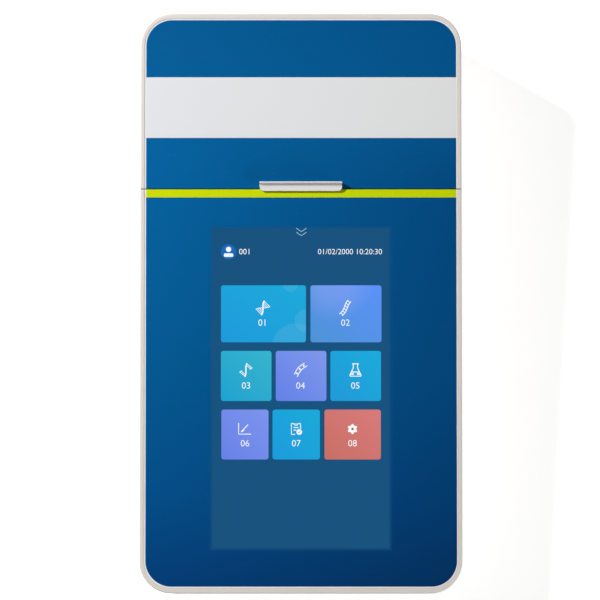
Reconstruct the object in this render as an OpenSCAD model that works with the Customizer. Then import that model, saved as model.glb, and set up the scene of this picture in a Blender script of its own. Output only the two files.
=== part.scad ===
// Benchtop fluorometer with a touch screen and a hinged lid over one tube well.
// The deck slopes up from front to back. Most parts are drawn square to the deck and then tilted with it:
// in that deck frame x runs across, y runs up the deck to the back, and z = 0 is the top face of the rim.

/* [Case] */
// Width of the deck on each side of the picture
side_margin = 25.98; // [24:0.01:34]
// Length of the deck between the lid and the picture
far_margin = 13.6; // [11:0.1:20]
// Length of the deck in front of the picture
near_margin = 15.74; // [14:0.01:24]
// Radius of the case's four corners, seen from above
corner_r = 12; // [10:0.5:15]
// Height of the deck's front edge above the table
front_h = 38; // [36:0.5:46]
// Slope of the deck, in degrees
slope = 4; // [2:0.5:6]
// Thickness of the case walls
wall = 2.4; // [2:0.1:2.8]
// Depth of the joint between the upper and lower case, below the rim
split_z = 22; // [21:0.5:24]
// Radius along the top outer edge
edge_round = 0.8; // [0.4:0.1:1]
// Height of the plinth that the walls stand on
plinth_h = 1.6; // [1:0.1:2]
// Step from the walls in to the plinth
plinth_in = 1.2; // [0.8:0.1:1.6]
// Gap between the case and the table, which the feet fill
table_gap = 3; // [2.5:0.1:4]

/* [Printed overlays] */
// Width of the bare rim along both sides
rim_side = 1.8; // [1.6:0.1:2.4]
// Width of the bare rim at the back
rim_rear = 2.05; // [1.6:0.05:2.4]
// Width of the bare rim at the front
rim_front = 2.3; // [1.6:0.1:3]
// Radius of the overlay's outer corners
overlay_r = 10; // [8:0.5:12]
// Thickness of the overlay sheets
overlay_t = 0.8; // [0.6:0.05:1]
// Depth of the overlay's face below the rim
overlay_sink = 0.2; // [0.1:0.05:0.4]
// Width of the accent strip in front of the lid
strip_w = 3; // [2:0.1:5]
// Distance of the light band from the case's back edge
band_start = 23.9; // [20:0.1:28]
// Width of the light band
band_w = 22.7; // [16:0.1:26]

/* [Lid] */
// Length of the lid along the deck
lid_l = 65.7; // [64:0.1:70]
// Thickness of the lid at its sides
lid_t = 12; // [11.5:0.1:13.5]
// Gap between the lid's front face and the front deck
seam = 0.3; // [0.25:0.05:0.8]
// Gap under the closed lid's side walls
lid_gap = 0.3; // [0.2:0.05:0.6]
// Angle that the lid opens to, in degrees
lid_open = 96; // [80:1:100]
// Depth of the inner lining above the lid's lower edge
liner_sink = 1; // [0.8:0.1:1.5]
// Thickness of the inner lining
liner_t = 1.6; // [1.4:0.1:2]

/* [Lid handle] */
// Width of the lip that lifts the lid
handle_w = 30.7; // [24:0.1:40]
// Depth of the lip from its crest to its front edge
handle_d = 3.3; // [3.1:0.1:4.4]
// Height of the crest above the rim
handle_h = 3.4; // [2.6:0.1:4.5]
// Reach of the lip past the lid's front face
handle_reach = 0.9; // [0.5:0.1:1.2]
// Height of the lip's front edge above the rim
handle_front_h = 1.1; // [0.9:0.05:1.4]

/* [Hinge] */
// Distance of the hinge axis from the back face
hinge_in = 3.5; // [3.3:0.1:4]
// Radius of the knuckles
knuckle_r = 3.2; // [2.8:0.1:3.2]
// Radius of the hinge pins
pin_r = 1.25; // [1:0.05:1.5]
// Length of each lid knuckle
lid_knuckle = 12; // [8:0.5:16]
// Length of each case knuckle
case_knuckle = 6; // [4:0.5:9]
// Distance of each hinge from the middle of the case
hinge_x = 34; // [28:0.5:38]

/* [Display] */
// Width of the picture
screen_w = 68.04; // [60:0.01:72]
// Length of the picture
screen_l = 120.96; // [110:0.01:124]
// Radius of the window's corners
screen_r = 0.8; // [0.4:0.1:2]
// Border of the display panel beside the picture
panel_side = 3; // [2:0.1:3.5]
// Border of the display panel at its far end
panel_far = 3; // [2:0.1:4]
// Border of the display panel at its cable end
panel_near = 6.5; // [5:0.1:8]
// Thickness of the display panel
panel_t = 3; // [2.5:0.1:4]

/* [Tube well] */
// Radius of the well for a thin-walled 0.5 mL tube
tube_r = 4; // [3.6:0.05:4.4]
// Length of the straight part of the well
tube_straight = 14; // [12:0.5:16]
// Length of the tapered part of the well
tube_taper = 15; // [13:0.5:16]
// Radius at the bottom of the well
tube_tip = 1.5; // [1.2:0.1:2]
// Wall of the well's sleeve
sleeve_wall = 2.5; // [2:0.1:3]
// Radius of the light beams through the block
beam_r = 2.2; // [1.5:0.1:2.5]
// Radius of the filters, the lens and their seats
filter_r = 4; // [3.5:0.1:4.5]
// Thickness of each filter
filter_t = 2; // [1.5:0.1:2.5]

/* [Back panel] */
// Distance of the power switch from the middle
switch_x = 36; // [34:0.5:38]
// Distance of the power inlet from the middle
jack_x = 16; // [12:0.5:18]
// Distance of the data port from the middle
usb_x = -12; // [-18:0.5:-8]
// Radius of the power inlet's socket
jack_r = 2.85; // [2.8:0.01:3]
// Radius of the power inlet's centre pin
jack_pin_r = 1; // [0.8:0.05:1.2]
// Angle that the power rocker tips through, in degrees
rock = 16; // [12:1:20]

/* [Fasteners and feet] */
// Radius of the case screws
screw_r = 1.5; // [1.25:0.05:1.75]
// Radius of the rubber feet
foot_r = 6; // [5:0.5:7]
// Distance of the feet from the case's middle, across
foot_x = 44; // [40:0.5:46]
// Distance of the feet from the case's middle, along
foot_y = 74; // [70:1:80]

/* [Clearances] */
// Radial clearance of a turning pin in its bore
run_fit = 0.05; // [0.02:0.01:0.08]
// Clearance beside a part that moves past another
move_gap = 0.3; // [0.25:0.05:0.4]
// Clearance round a part that drops into a pocket
drop_fit = 0.1; // [0.05:0.01:0.2]

/* [Hidden] */
$fn = 64;
case_w = screen_w + 2 * side_margin;
case_l = lid_l + far_margin + screen_l + near_margin;
far = 2 * case_l;                            // larger than the whole part, for cutting shapes

// Levels below the rim, all in the deck frame
sheet_top = -overlay_sink;
recess_z = -(overlay_sink + overlay_t);
deck_under = recess_z - 2;                   // underside of the front deck plate and of the lid's top plate
bay_z = -(lid_t + lid_gap);                  // top of the case under the lid
bay_under = bay_z - wall;
liner_z = -lid_t + liner_sink;               // underside of the lining
rail_y = case_l / 2 - 10;                    // front face of the solid rails that carry the knuckles
rail_under = bay_z - knuckle_r - 3;

// Lines across the deck
seam_y = case_l / 2 - lid_l;
step_y = seam_y - seam / 2;                  // back face of the front deck
lid_y = seam_y + seam / 2;                   // front face of the lid
well_y = (lid_y + rail_y) / 2;
screen_y = seam_y - far_margin - screen_l / 2;
panel_w = screen_w + 2 * panel_side;
panel_l = screen_l + panel_far + panel_near;
panel_y = screen_y + (panel_far - panel_near) / 2;
panel_z = recess_z - panel_t;

// The hinge
axis_y = case_l / 2 - hinge_in;
axis_z = -lid_t - lid_gap / 2;
groove = (lid_open + 4) / 2;                 // half the angle of the groove that stops the open lid

// The floor is level, so its depth below the deck grows towards the back
deck_h = front_h + case_l / 2 * sin(slope);
function floor_z(y, up = 0) = (table_gap + up - deck_h - y * sin(slope)) / cos(slope);

// Back panel
rear_y = case_l / 2;
io_z = floor_z(rear_y - 12, wall) + 3;       // underside of the connector board
board_t = 1.6;
io_top = io_z + board_t;
io_front = rear_y - 22;
io_back = rear_y - wall - 0.6;
io_w = 62;
io_screw_l = 3;
io_post_in = 4;
io_post_x = io_w / 2 - io_post_in;
io_post_ys = [io_front + io_post_in, io_back - io_post_in];
switch_z = (io_top - split_z) / 2 - 1.5;
rocker_l = 5.4;
rocker_h = 3.5;
rocker_top = 2.9;
rocker_gap = 0.4;
flange_t = 1.6;
pivot_y = rear_y - 1.5;
usb_h = 5.7;
usb_w = 13.2;
usb_l = 15;
jack_w = 9;
jack_h = 9.4;
jack_l = 14;
jack_depth = 10;
jack_z = io_top + jack_h / 2 + 0.4;

// Where the whole part reaches, so that its box is centred over the origin
front_reach = -case_l / 2 * cos(slope) + edge_round * sin(slope);
corner_reach = rear_y * cos(slope) - floor_z(rear_y) * sin(slope);
tip_y = pivot_y + rocker_top * cos(rock / 2) + rocker_l * sin(rock / 2);
tip_reach = tip_y * cos(slope) - (switch_z - rocker_h) * sin(slope);
shift_y = -(front_reach + max(corner_reach, tip_reach)) / 2;

// Screws, bosses and boards
boss_x = case_w / 2 - 9;
boss_ys = [-case_l / 2 + 14, seam_y - 18, case_l / 2 - 15];
boss_r = 4.2;
head_r = 2 * screw_r;
vent_w = 2;
vent_l = case_l / 7;
vent_pitch = case_w / 20;
vent_y = -case_l / 11;
head_t = 1.9;
seat_z = -split_z - 6;                       // the case screws' heads seat here
screw_top = -split_z + 6;
board_back = 30;                             // main board's distances from the seam and the near end
board_front = 22;
post_x = panel_w / 2 + 4.6;
post_r = 2.6;
board_y1 = seam_y - board_back;
board_y0 = -case_l / 2 + board_front;
board_z = deck_under - 13;                   // top of the main board
board_w = 2 * post_x + 6;
post_in = 6;                                 // distance of a board's posts from its edges
board_post_ys = [board_y0 + post_in, board_y1 - post_in];
chips = [[-8, 42, 34, 34, 3], [24, 36, 12, 14, 1.2], [24, 60, 11, 11, 4], [0, 5, 26, 5, 2.5], [-26, 72, 9, 9, 1.2]];
chip_r = 0.5;
flex_in = 6;                                 // where the flat cable leaves the display, from its near end
flex_w = 22;
board_screw_l = 6;
buzzer_in = 18;                              // distance of the buzzer from the board's edges
buzzer_r = 6;
small_r = 1.1;                               // radius of the small screws
led_r = 2.5;
led_board_w = 13;

// The optics block round the well
well_top = bay_z + 1;
sleeve_r = tube_r + sleeve_wall;
straight_z = well_top - tube_straight;
tip_z = straight_z - tube_taper;
well_bottom = tip_z - 1.3;
beam_z = straight_z - tube_taper * 0.45;
block_w = 40;
detector_w = 24;
detector_h = 13;
block_l = 32;
block_post_x = block_w / 2 - 4;
block_post_ys = [well_y - block_l / 2 + 5, well_y + block_l / 2 - 5];
block_top = bay_under - 6;
block_bottom = beam_z - filter_r - 4;
seat_d = sleeve_r + 2.2;                     // distance of the filter seats from the well's axis
flange_r = sleeve_r + 2;
cup_r = flange_r + 1.3;
seal_r = cup_r + 2.6;
seal_w = 2.4;
magnet_r = 3;
magnet_t = 2;
magnet_x = case_w / 2 - 16;
magnet_y = seam_y + 12;
handle_corner = 1.5;
handle_peg_r = 0.9;
handle_peg_l = 4.5;                          // length of the pegs under the lip
handle_pegs = [for (x = [-1, 1]) [x * (handle_w / 2 - 4), lid_y + 1.4]];
liner_post_x = case_w / 2 - 9;
liner_screw_l = 3.6;                         // how far the screws reach into the lid's posts
liner_post_ys = [seam_y + 9, rail_y - 7];

// Tilts its children with the deck and sets them at its height.
module deck() {
    translate([0, shift_y, deck_h]) rotate([slope, 0, 0]) children();
}

// Extrudes a profile along x: its first axis becomes y, its second z.
module along_x(w) {
    rotate([90, 0, 90]) linear_extrude(w, center = true) children();
}

// A plate of this outline from z0 up to z1.
module slab(z0, z1) {
    translate([0, 0, z0]) linear_extrude(z1 - z0) children();
}

module round_rect(w, l, r) {
    square([w - 2 * r, l], center = true);
    square([w, l - 2 * r], center = true);
    for (x = [-1, 1], y = [-1, 1]) translate([x * (w / 2 - r), y * (l / 2 - r)]) circle(r);
}

module rod(r, z0, z1) {
    translate([0, 0, z0]) cylinder(r = r, h = z1 - z0);
}

// Quarter disc, the section of a rounded edge.
module quarter(r) {
    intersection() {
        circle(r);
        square(r);
    }
}

// A rounded-rectangle block whose top outer edge is rounded to radius e.
module soft_block(w, l, r, h, e) {
    linear_extrude(h - e) round_rect(w, l, r);
    translate([0, 0, h - e]) {
        linear_extrude(e) round_rect(w - 2 * e, l - 2 * e, r - e);
        for (s = [0, 1]) {
            mirror([0, s, 0]) translate([0, l / 2 - e, 0]) along_x(w - 2 * r) quarter(e);
            mirror([s, 0, 0]) translate([w / 2 - e, 0, 0]) rotate([90, 0, 0])
                linear_extrude(l - 2 * r, center = true) quarter(e);
        }
        for (i = [0:3]) {
            x = (i == 0 || i == 3) ? 1 : -1;
            y = i < 2 ? 1 : -1;
            translate([x * (w / 2 - r), y * (l / 2 - r), 0]) rotate(90 * i)
                rotate_extrude(angle = 90) translate([r - e, 0]) quarter(e);
        }
    }
}

module case_outline(inset = 0) {
    round_rect(case_w - 2 * inset, case_l - 2 * inset, corner_r - inset);
}

module overlay_outline() {
    translate([0, (rim_front - rim_rear) / 2])
        round_rect(case_w - 2 * rim_side, case_l - rim_front - rim_rear, overlay_r);
}

// The part of a 2D shape that lies between two lines across the deck.
module between(y0, y1) {
    intersection() {
        children();
        translate([-far / 2, y0]) square([far, y1 - y0]);
    }
}

module in_corners(x, ys) {
    for (s = [-1, 1], y = ys) translate([s * x, y, 0]) children();
}

// A knuckle's solid round the hinge axis, from x0 to x1.
module knuckle(r, x0, x1) {
    translate([(x0 + x1) / 2, axis_y, axis_z]) rotate([0, 90, 0]) cylinder(r = r, h = x1 - x0, center = true);
}

// Both case knuckles of each hinge, grown by g in length.
module case_knuckles(r, g = 0) {
    for (s = [-1, 1], t = [-1, 1]) {
        mid = s * hinge_x + t * (lid_knuckle / 2 + move_gap + case_knuckle / 2);
        knuckle(r, mid - case_knuckle / 2 - g, mid + case_knuckle / 2 + g);
    }
}

module lid_knuckles(r, g = 0) {
    for (s = [-1, 1]) knuckle(r, s * hinge_x - lid_knuckle / 2 - g, s * hinge_x + lid_knuckle / 2 + g);
}

module hinge_bores(r) {
    reach = lid_knuckle / 2 + move_gap + case_knuckle;
    for (s = [-1, 1]) knuckle(r, s * hinge_x - reach, s * hinge_x + reach);
}

// Wedge behind the hinge axis, above (up = 1) or below (up = -1) the joint line.
module stop_groove(up) {
    run = hinge_in + 5;
    translate([0, axis_y, axis_z]) along_x(far)
        polygon([[0, 0], [run, up * run * tan(groove)], [run, -up], [0, -up]]);
}

// ---- Case ----

module upper_case() {
    inner = deck_under;
    color([0.80, 0.78, 0.75]) deck() difference() {
        union() {
            difference() {
                translate([0, 0, -split_z]) soft_block(case_w, case_l, corner_r, split_z, edge_round);
                // the space that the lid fills
                slab(bay_z, 1) translate([-far / 2, step_y]) square([far, far]);
                // the inside, under the front deck, under the lid and under the hinge rail
                slab(-split_z - 1, inner) between(-far, step_y - wall) case_outline(wall);
                slab(-split_z - 1, bay_under) between(step_y - wall - 1, rail_y) case_outline(wall);
                slab(-split_z - 1, rail_under) between(rail_y - 1, far) case_outline(wall);
            }
            // screw bosses, board posts and the optics block's posts
            in_corners(boss_x, [boss_ys[0], boss_ys[1]]) rod(boss_r, -split_z, inner + 0.5);
            in_corners(boss_x, [boss_ys[2]]) rod(boss_r, -split_z, bay_under + 0.5);
            in_corners(post_x, board_post_ys) rod(post_r, board_z, inner + 0.5);
            in_corners(block_post_x, block_post_ys) rod(3, block_top, bay_under + 0.5);
            difference() {
                case_knuckles(knuckle_r);
                slab(axis_z - far, axis_z - knuckle_r + 0.01) square(far, center = true);
            }
        }
        // recess for the printed sheet, and the display's opening
        slab(recess_z, 1) between(-far, step_y + 1) overlay_outline();
        slab(deck_under - 1, 1) translate([0, panel_y]) square([panel_w + 2 * drop_fit, panel_l + 2 * drop_fit], center = true);
        // recess for the bay plate and the hole for the well
        slab(bay_z - 1.2, 1) translate([0, (lid_y + rail_y) / 2])
            round_rect(case_w - 16, rail_y - lid_y - 5, 4);
        translate([0, well_y, 0]) rod(sleeve_r + 1, bay_under - 1, 0);
        in_corners(magnet_x, [magnet_y]) rod(magnet_r + 0.05, bay_under - 1, 0);
        // groove, pockets and bores of the hinge
        difference() {
            stop_groove(-1);
            case_knuckles(knuckle_r);
        }
        lid_knuckles(knuckle_r + move_gap, move_gap);
        hinge_bores(pin_r);
        // pilot holes
        in_corners(boss_x, boss_ys) rod(screw_r, -split_z - 1, screw_top + 1);
        in_corners(post_x, board_post_ys) rod(small_r, board_z - 1, board_z + 7);
        in_corners(block_post_x, block_post_ys) rod(small_r, block_top - 1, block_top + 5);
    }
}

// The case below the joint, walls square to the deck, down to a level plane.
module lower_solid(inset, up) {
    intersection() {
        deck() slab(-far / 2, -split_z) case_outline(inset);
        translate([-far / 2, -far / 2, table_gap + up]) cube(far);
    }
}

// The level plinth under the walls, which leaves a shadow line above the table.
module plinth() {
    top = table_gap + plinth_h;
    l = case_l / cos(slope) - 2 * plinth_in;
    translate([0, shift_y + (deck_h - top) * tan(slope), table_gap]) linear_extrude(plinth_h + wall / 2)
        round_rect(case_w - 2 * plinth_in, l, corner_r - plinth_in);
}

module lower_case() {
    color([0.77, 0.75, 0.72]) difference() {
        union() {
            difference() {
                union() {
                    lower_solid(0, plinth_h);
                    plinth();
                }
                lower_solid(wall, wall);
                deck() slab(-split_z - 1, -split_z + 1) case_outline(wall);
                // shadow line under the joint
                deck() slab(-split_z - 0.7, -split_z + 1) difference() {
                    case_outline(-1);
                    case_outline(0.6);
                }
            }
            // lip that locates the upper case
            deck() slab(-split_z - 2, -split_z + 2) difference() {
                case_outline(wall + drop_fit);
                case_outline(wall + drop_fit + 1.2);
            }
            deck() slab(-split_z - 2, -split_z - 0.8) difference() {
                case_outline(wall - 0.5);
                case_outline(wall + drop_fit + 1.2);
            }
            // bosses for the case screws and the connector board
            intersection() {
                deck() in_corners(boss_x, boss_ys) rod(boss_r, -far / 4, -split_z);
                translate([-far / 2, -far / 2, table_gap + 0.5]) cube(far);
            }
            intersection() {
                deck() in_corners(io_post_x, io_post_ys) rod(2.6, -far / 4, io_z);
                translate([-far / 2, -far / 2, table_gap + 0.5]) cube(far);
            }
        }
        deck() {
            in_corners(boss_x, boss_ys) {
                rod(screw_r + 0.2, seat_z - 1, -split_z + 1);
                rod(head_r + 0.2, -far / 4, seat_z);
            }
            in_corners(io_post_x, io_post_ys) rod(small_r, io_z - 4, io_z + 1);
            back_cutouts();
        }
        for (x = [-1, 1], y = [-1, 1]) translate([x * foot_x, y * foot_y, table_gap - 1])
            cylinder(r = foot_r + drop_fit, h = 1.8);
        // cooling slots in the bottom
        for (i = [-3:3]) translate([i * vent_pitch, vent_y, table_gap - 1]) linear_extrude(wall + 2)
            round_rect(vent_w, vent_l, vent_w / 2 - 0.01);
    }
}

// Openings in the back wall for the switch, the power inlet and the data port.
module back_cutouts() {
    depth = wall + 2;
    translate([0, rear_y - wall / 2, 0]) {
        translate([switch_x, 0, switch_z]) cube([2 * (rocker_l + 1.8), depth, 2 * (rocker_h + 1.4)], center = true);
        translate([jack_x, 0, jack_z]) rotate([90, 0, 0]) cylinder(r = jack_r + 1.3, h = depth, center = true);
        translate([usb_x, 0, io_top + usb_h / 2]) cube([usb_w + 0.6, depth, usb_h + 0.6], center = true);
    }
}

module rubber_feet() {
    color([0.08, 0.08, 0.08]) for (x = [-1, 1], y = [-1, 1]) translate([x * foot_x, y * foot_y, 0])
        rotate_extrude() {
            square([foot_r - 0.8, table_gap + 0.8]);
            translate([0, 0.8]) square([foot_r, table_gap]);
            translate([foot_r - 0.8, 0.8]) circle(0.8);
        }
}

module case_screws() {
    color([0.55, 0.56, 0.58]) deck() in_corners(boss_x, boss_ys) difference() {
        union() {
            rod(head_r, seat_z - head_t, seat_z);
            rod(screw_r, seat_z - 0.5, screw_top);
        }
        translate([0, 0, seat_z - head_t - 1]) cylinder(r = screw_r, h = 2.2, $fn = 6);
    }
}

// ---- Printed sheets, display and main board ----

module front_overlay() {
    color([0.0, 0.33, 0.57]) deck() slab(recess_z, sheet_top) difference() {
        between(-far, step_y - strip_w) overlay_outline();
        translate([0, screen_y]) round_rect(screen_w, screen_l, screen_r);
    }
}

module accent_strip() {
    color([0.76, 0.83, 0.0]) deck() slab(recess_z, sheet_top) between(step_y - strip_w, step_y) overlay_outline();
}

module screen_glass() {
    color([0.09, 0.33, 0.50]) deck() slab(recess_z, sheet_top) translate([0, screen_y])
        round_rect(screen_w, screen_l, screen_r);
}

module display_panel() {
    color([0.10, 0.10, 0.12]) deck() slab(panel_z, recess_z) translate([0, panel_y])
        square([panel_w, panel_l], center = true);
}

// Pressed frame that holds the display up against the sheet, with ears at the board posts.
module display_frame() {
    t = 0.8;
    under = panel_z;
    color([0.70, 0.71, 0.72]) deck() difference() {
        union() {
            slab(under - t, under) translate([0, panel_y]) square([panel_w - 1, panel_l - 1], center = true);
            slab(under - t, under) for (y = board_post_ys) translate([0, y])
                round_rect(2 * post_x + 2 * post_r + 3, 10, 2);
        }
        slab(under - t - 1, under + 1) translate([0, panel_y]) round_rect(panel_w - 16, panel_l - 20, 3);
        in_corners(post_x, board_post_ys) rod(post_r + drop_fit, under - t - 1, under + 1);
    }
}

// Flat cable from the display's near end back to the main board.
module display_flex() {
    y0 = panel_y - panel_l / 2 + flex_in;
    t = 0.3;
    drop = panel_z - 0.8 - board_z;
    loop_r = drop / 2;
    color([0.72, 0.45, 0.12]) deck() translate([0, y0 + 4, board_z + loop_r]) {
        along_x(flex_w) {
            intersection() {
                difference() {
                    circle(loop_r);
                    circle(loop_r - t);
                }
                translate([-2 * loop_r, -loop_r]) square([2 * loop_r, 2 * loop_r]);
            }
            translate([0, loop_r - t]) square([6, t]);
            translate([0, -loop_r]) square([board_y0 - y0 + 6, t]);
        }
    }
}

module main_board() {
    color([0.02, 0.25, 0.13]) deck() difference() {
        slab(board_z - board_t, board_z) translate([0, (board_y0 + board_y1) / 2])
            round_rect(board_w, board_y1 - board_y0, 2);
        in_corners(post_x, board_post_ys) rod(small_r + 0.2, board_z - board_t - 1, board_z + 1);
    }
}

// Processor under its shield, memory, power converter, ribbon socket and driver, each given by its place
// across the board, its distance from the board's far edge, and its width, length and height.
module board_components() {
    under = board_z - board_t;
    color([0.16, 0.16, 0.17]) deck() for (c = chips)
        slab(under - c[4], under) translate([c[0], board_y1 - c[1]]) round_rect(c[2], c[3], chip_r);
}

module board_screws() {
    color([0.6, 0.6, 0.62]) deck() in_corners(post_x, board_post_ys) {
        rod(2 * small_r, board_z - board_t - 1.2, board_z - board_t);
        rod(small_r, board_z - board_t - 0.1, board_z + board_screw_l);
    }
}

module buzzer() {
    under = board_z - board_t;
    color([0.05, 0.05, 0.05]) deck() translate([buzzer_in - board_w / 2, board_y1 - buzzer_in, 0]) difference() {
        rod(buzzer_r, under - 5, under);
        rod(1, under - 6, under - 3.5);
    }
}

// ---- Bay under the lid ----

module bay_plate() {
    color([0.05, 0.05, 0.06]) deck() difference() {
        slab(bay_z - 1.2, bay_z) translate([0, (lid_y + rail_y) / 2])
            round_rect(case_w - 16 - 2 * drop_fit, rail_y - lid_y - 5 - 2 * drop_fit, 4 - drop_fit);
        translate([0, well_y, 0]) rod(sleeve_r + drop_fit, bay_z - 2, bay_z + 1);
        // groove of the light seal
        translate([0, well_y, 0]) slab(bay_z - 0.7, bay_z + 1) difference() {
            circle(seal_r + seal_w);
            circle(seal_r);
        }
        in_corners(magnet_x, [magnet_y]) rod(magnet_r + 0.05, bay_z - 2, bay_z - 0.4);
    }
}

module light_seal() {
    color([0.10, 0.10, 0.10]) deck() translate([0, well_y, 0]) slab(bay_z - 0.7, liner_z - move_gap) difference() {
        circle(seal_r + seal_w);
        circle(seal_r);
    }
}

// Flanged sleeve that guides the tube.
module tube_well() {
    color([0.07, 0.07, 0.08]) deck() translate([0, well_y, 0]) difference() {
        union() {
            rod(flange_r, bay_z, well_top);
            rod(sleeve_r, straight_z, bay_z + 0.5);
        }
        rod(tube_r, straight_z - 1, well_top + 1);
        // lead-in for the tube
        translate([0, 0, well_top - 0.6]) cylinder(r1 = tube_r, r2 = tube_r + 0.8, h = 0.8);
    }
}

// Tapered seat under the sleeve, with the holes that light goes through.
module tube_seat() {
    color([0.09, 0.09, 0.10]) deck() translate([0, well_y, 0]) difference() {
        rod(sleeve_r, well_bottom, straight_z);
        translate([0, 0, tip_z]) cylinder(r1 = tube_tip, r2 = tube_r, h = tube_taper);
        // beams in from both sides, and out to the detector
        translate([0, 0, beam_z]) rotate([0, 90, 0]) cylinder(r = beam_r, h = 4 * sleeve_r, center = true);
        translate([0, 0, beam_z]) rotate([90, 0, 0]) cylinder(r = beam_r, h = 2 * sleeve_r);
    }
}

module base_magnets() {
    color([0.72, 0.72, 0.74]) deck() in_corners(magnet_x, [magnet_y]) rod(magnet_r, bay_z - 0.4 - magnet_t, bay_z - 0.4);
}

module lid_sensor() {
    color([0.03, 0.03, 0.03]) deck() slab(bay_under - 1.4, bay_under) translate([magnet_x - 8, magnet_y])
        square([4.2, 3.2], center = true);
}

module optics_block() {
    color([0.10, 0.10, 0.11]) deck() translate([0, well_y, 0]) difference() {
        slab(block_bottom, block_top) round_rect(block_w, block_l, 2);
        rod(sleeve_r + run_fit, block_bottom - 1, block_top + 1);
        translate([0, 0, beam_z]) {
            rotate([0, 90, 0]) cylinder(r = beam_r, h = block_w, center = true);
            for (a = [0, 180]) rotate([0, 90, a]) translate([0, 0, seat_d]) cylinder(r = filter_r, h = block_w);
            rotate([90, 0, 0]) cylinder(r = beam_r, h = block_l);
            rotate([90, 0, 0]) translate([0, 0, seat_d]) cylinder(r = filter_r, h = block_l);
        }
        translate([0, -well_y, 0]) in_corners(block_post_x, block_post_ys) rod(small_r + 0.2, block_bottom - 1, block_top + 1);
    }
}

module optics_screws() {
    color([0.6, 0.6, 0.62]) deck() in_corners(block_post_x, block_post_ys) {
        rod(2 * small_r, block_bottom - 1.5, block_bottom);
        rod(small_r, block_bottom - 0.1, block_top + 4.5);
    }
}

// Sets its children on the beam, along +z, turned to one side of the block.
module on_beam(side) {
    translate([0, well_y, beam_z]) rotate([side == "detector" ? 90 : 0, side == "blue" ? -90 : side == "red" ? 90 : 0, 0])
        children();
}

module led() {
    back = block_w / 2;
    cylinder_l = 7;
    rod(led_r + 0.4, back - 1, back);
    rod(led_r, back - cylinder_l + led_r, back - 0.5);
    translate([0, 0, back - cylinder_l + led_r]) sphere(led_r);
}

module blue_led() {
    color([0.25, 0.45, 0.95]) deck() on_beam("blue") led();
}

module red_led() {
    color([0.90, 0.15, 0.12]) deck() on_beam("red") led();
}

module led_boards() {
    color([0.02, 0.25, 0.13]) deck() for (side = ["blue", "red"]) on_beam(side)
        slab(block_w / 2, block_w / 2 + board_t) square(led_board_w, center = true);
}

module blue_filter() {
    color([0.20, 0.35, 0.90]) deck() on_beam("blue") rod(filter_r, seat_d, seat_d + filter_t);
}

module red_filter() {
    color([0.85, 0.12, 0.10]) deck() on_beam("red") rod(filter_r, seat_d, seat_d + filter_t);
}

module emission_filter() {
    color([0.55, 0.75, 0.25]) deck() on_beam("detector") rod(filter_r, seat_d, seat_d + filter_t);
}

// Flat on the filter, domed towards the detector.
module collector_lens() {
    dome_r = 6;
    edge = 0.8;
    sag = dome_r - sqrt(dome_r * dome_r - filter_r * filter_r);
    color([0.85, 0.92, 0.95]) deck() on_beam("detector") translate([0, 0, seat_d + filter_t]) intersection() {
        rod(filter_r, 0, edge + sag);
        translate([0, 0, edge + sag - dome_r]) sphere(dome_r);
    }
}

module photodiode() {
    color([0.15, 0.15, 0.18]) deck() on_beam("detector") rod(filter_r - 1, block_l / 2 - 1.4, block_l / 2);
}

module detector_board() {
    color([0.02, 0.25, 0.13]) deck() on_beam("detector") slab(block_l / 2, block_l / 2 + board_t) square([detector_w, detector_h], center = true);
}

// ---- Back panel ----

module io_board() {
    color([0.02, 0.25, 0.13]) deck() difference() {
        slab(io_z, io_top) translate([0, (io_front + io_back) / 2]) round_rect(io_w, io_back - io_front, 1.5);
        in_corners(io_post_x, io_post_ys) rod(small_r + 0.2, io_z - 1, io_top + 1);
    }
}

module io_screws() {
    color([0.6, 0.6, 0.62]) deck() in_corners(io_post_x, io_post_ys) {
        rod(2 * small_r, io_top, io_top + 1.2);
        rod(small_r, io_z - io_screw_l, io_top + 0.1);
    }
}

// Barrel socket: a block on the board with a round nose in the back wall.
module dc_jack() {
    color([0.04, 0.04, 0.04]) deck() translate([jack_x, 0, 0]) difference() {
        union() {
            translate([-jack_w / 2, io_back - jack_l, io_top]) cube([jack_w, jack_l, jack_h]);
            translate([0, io_back - 1, jack_z]) rotate([-90, 0, 0]) cylinder(r = jack_r + 1, h = rear_y - io_back + 1);
        }
        translate([0, rear_y - jack_depth, jack_z]) rotate([-90, 0, 0]) cylinder(r = jack_r, h = 2 * jack_depth);
        translate([0, rear_y - jack_depth - 2, jack_z]) rotate([-90, 0, 0]) cylinder(r = jack_pin_r + 0.3, h = 3);
    }
}

// Centre pin, on a thicker foot in the jack's back wall.
module dc_jack_pin() {
    color([0.75, 0.73, 0.65]) deck() translate([jack_x, rear_y - jack_depth, jack_z]) rotate([-90, 0, 0]) {
        rod(jack_pin_r + 0.3, -2, 0);
        rod(jack_pin_r, 0, jack_depth - 0.5);
    }
}

module usb_port() {
    color([0.75, 0.76, 0.77]) deck() translate([usb_x, rear_y - usb_l, io_top]) difference() {
        translate([-usb_w / 2, 0, 0]) cube([usb_w, usb_l, usb_h]);
        translate([-usb_w / 2 + 0.4, 1, 0.4]) cube([usb_w - 0.8, usb_l, usb_h - 0.8]);
    }
}

module usb_tongue() {
    color([0.90, 0.90, 0.88]) deck() translate([usb_x, rear_y - usb_l + 1, io_top + usb_h - 0.4 - 2.6])
        translate([-5.5, 0, 0]) cube([11, usb_l - 2, 1.8]);
}

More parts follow.
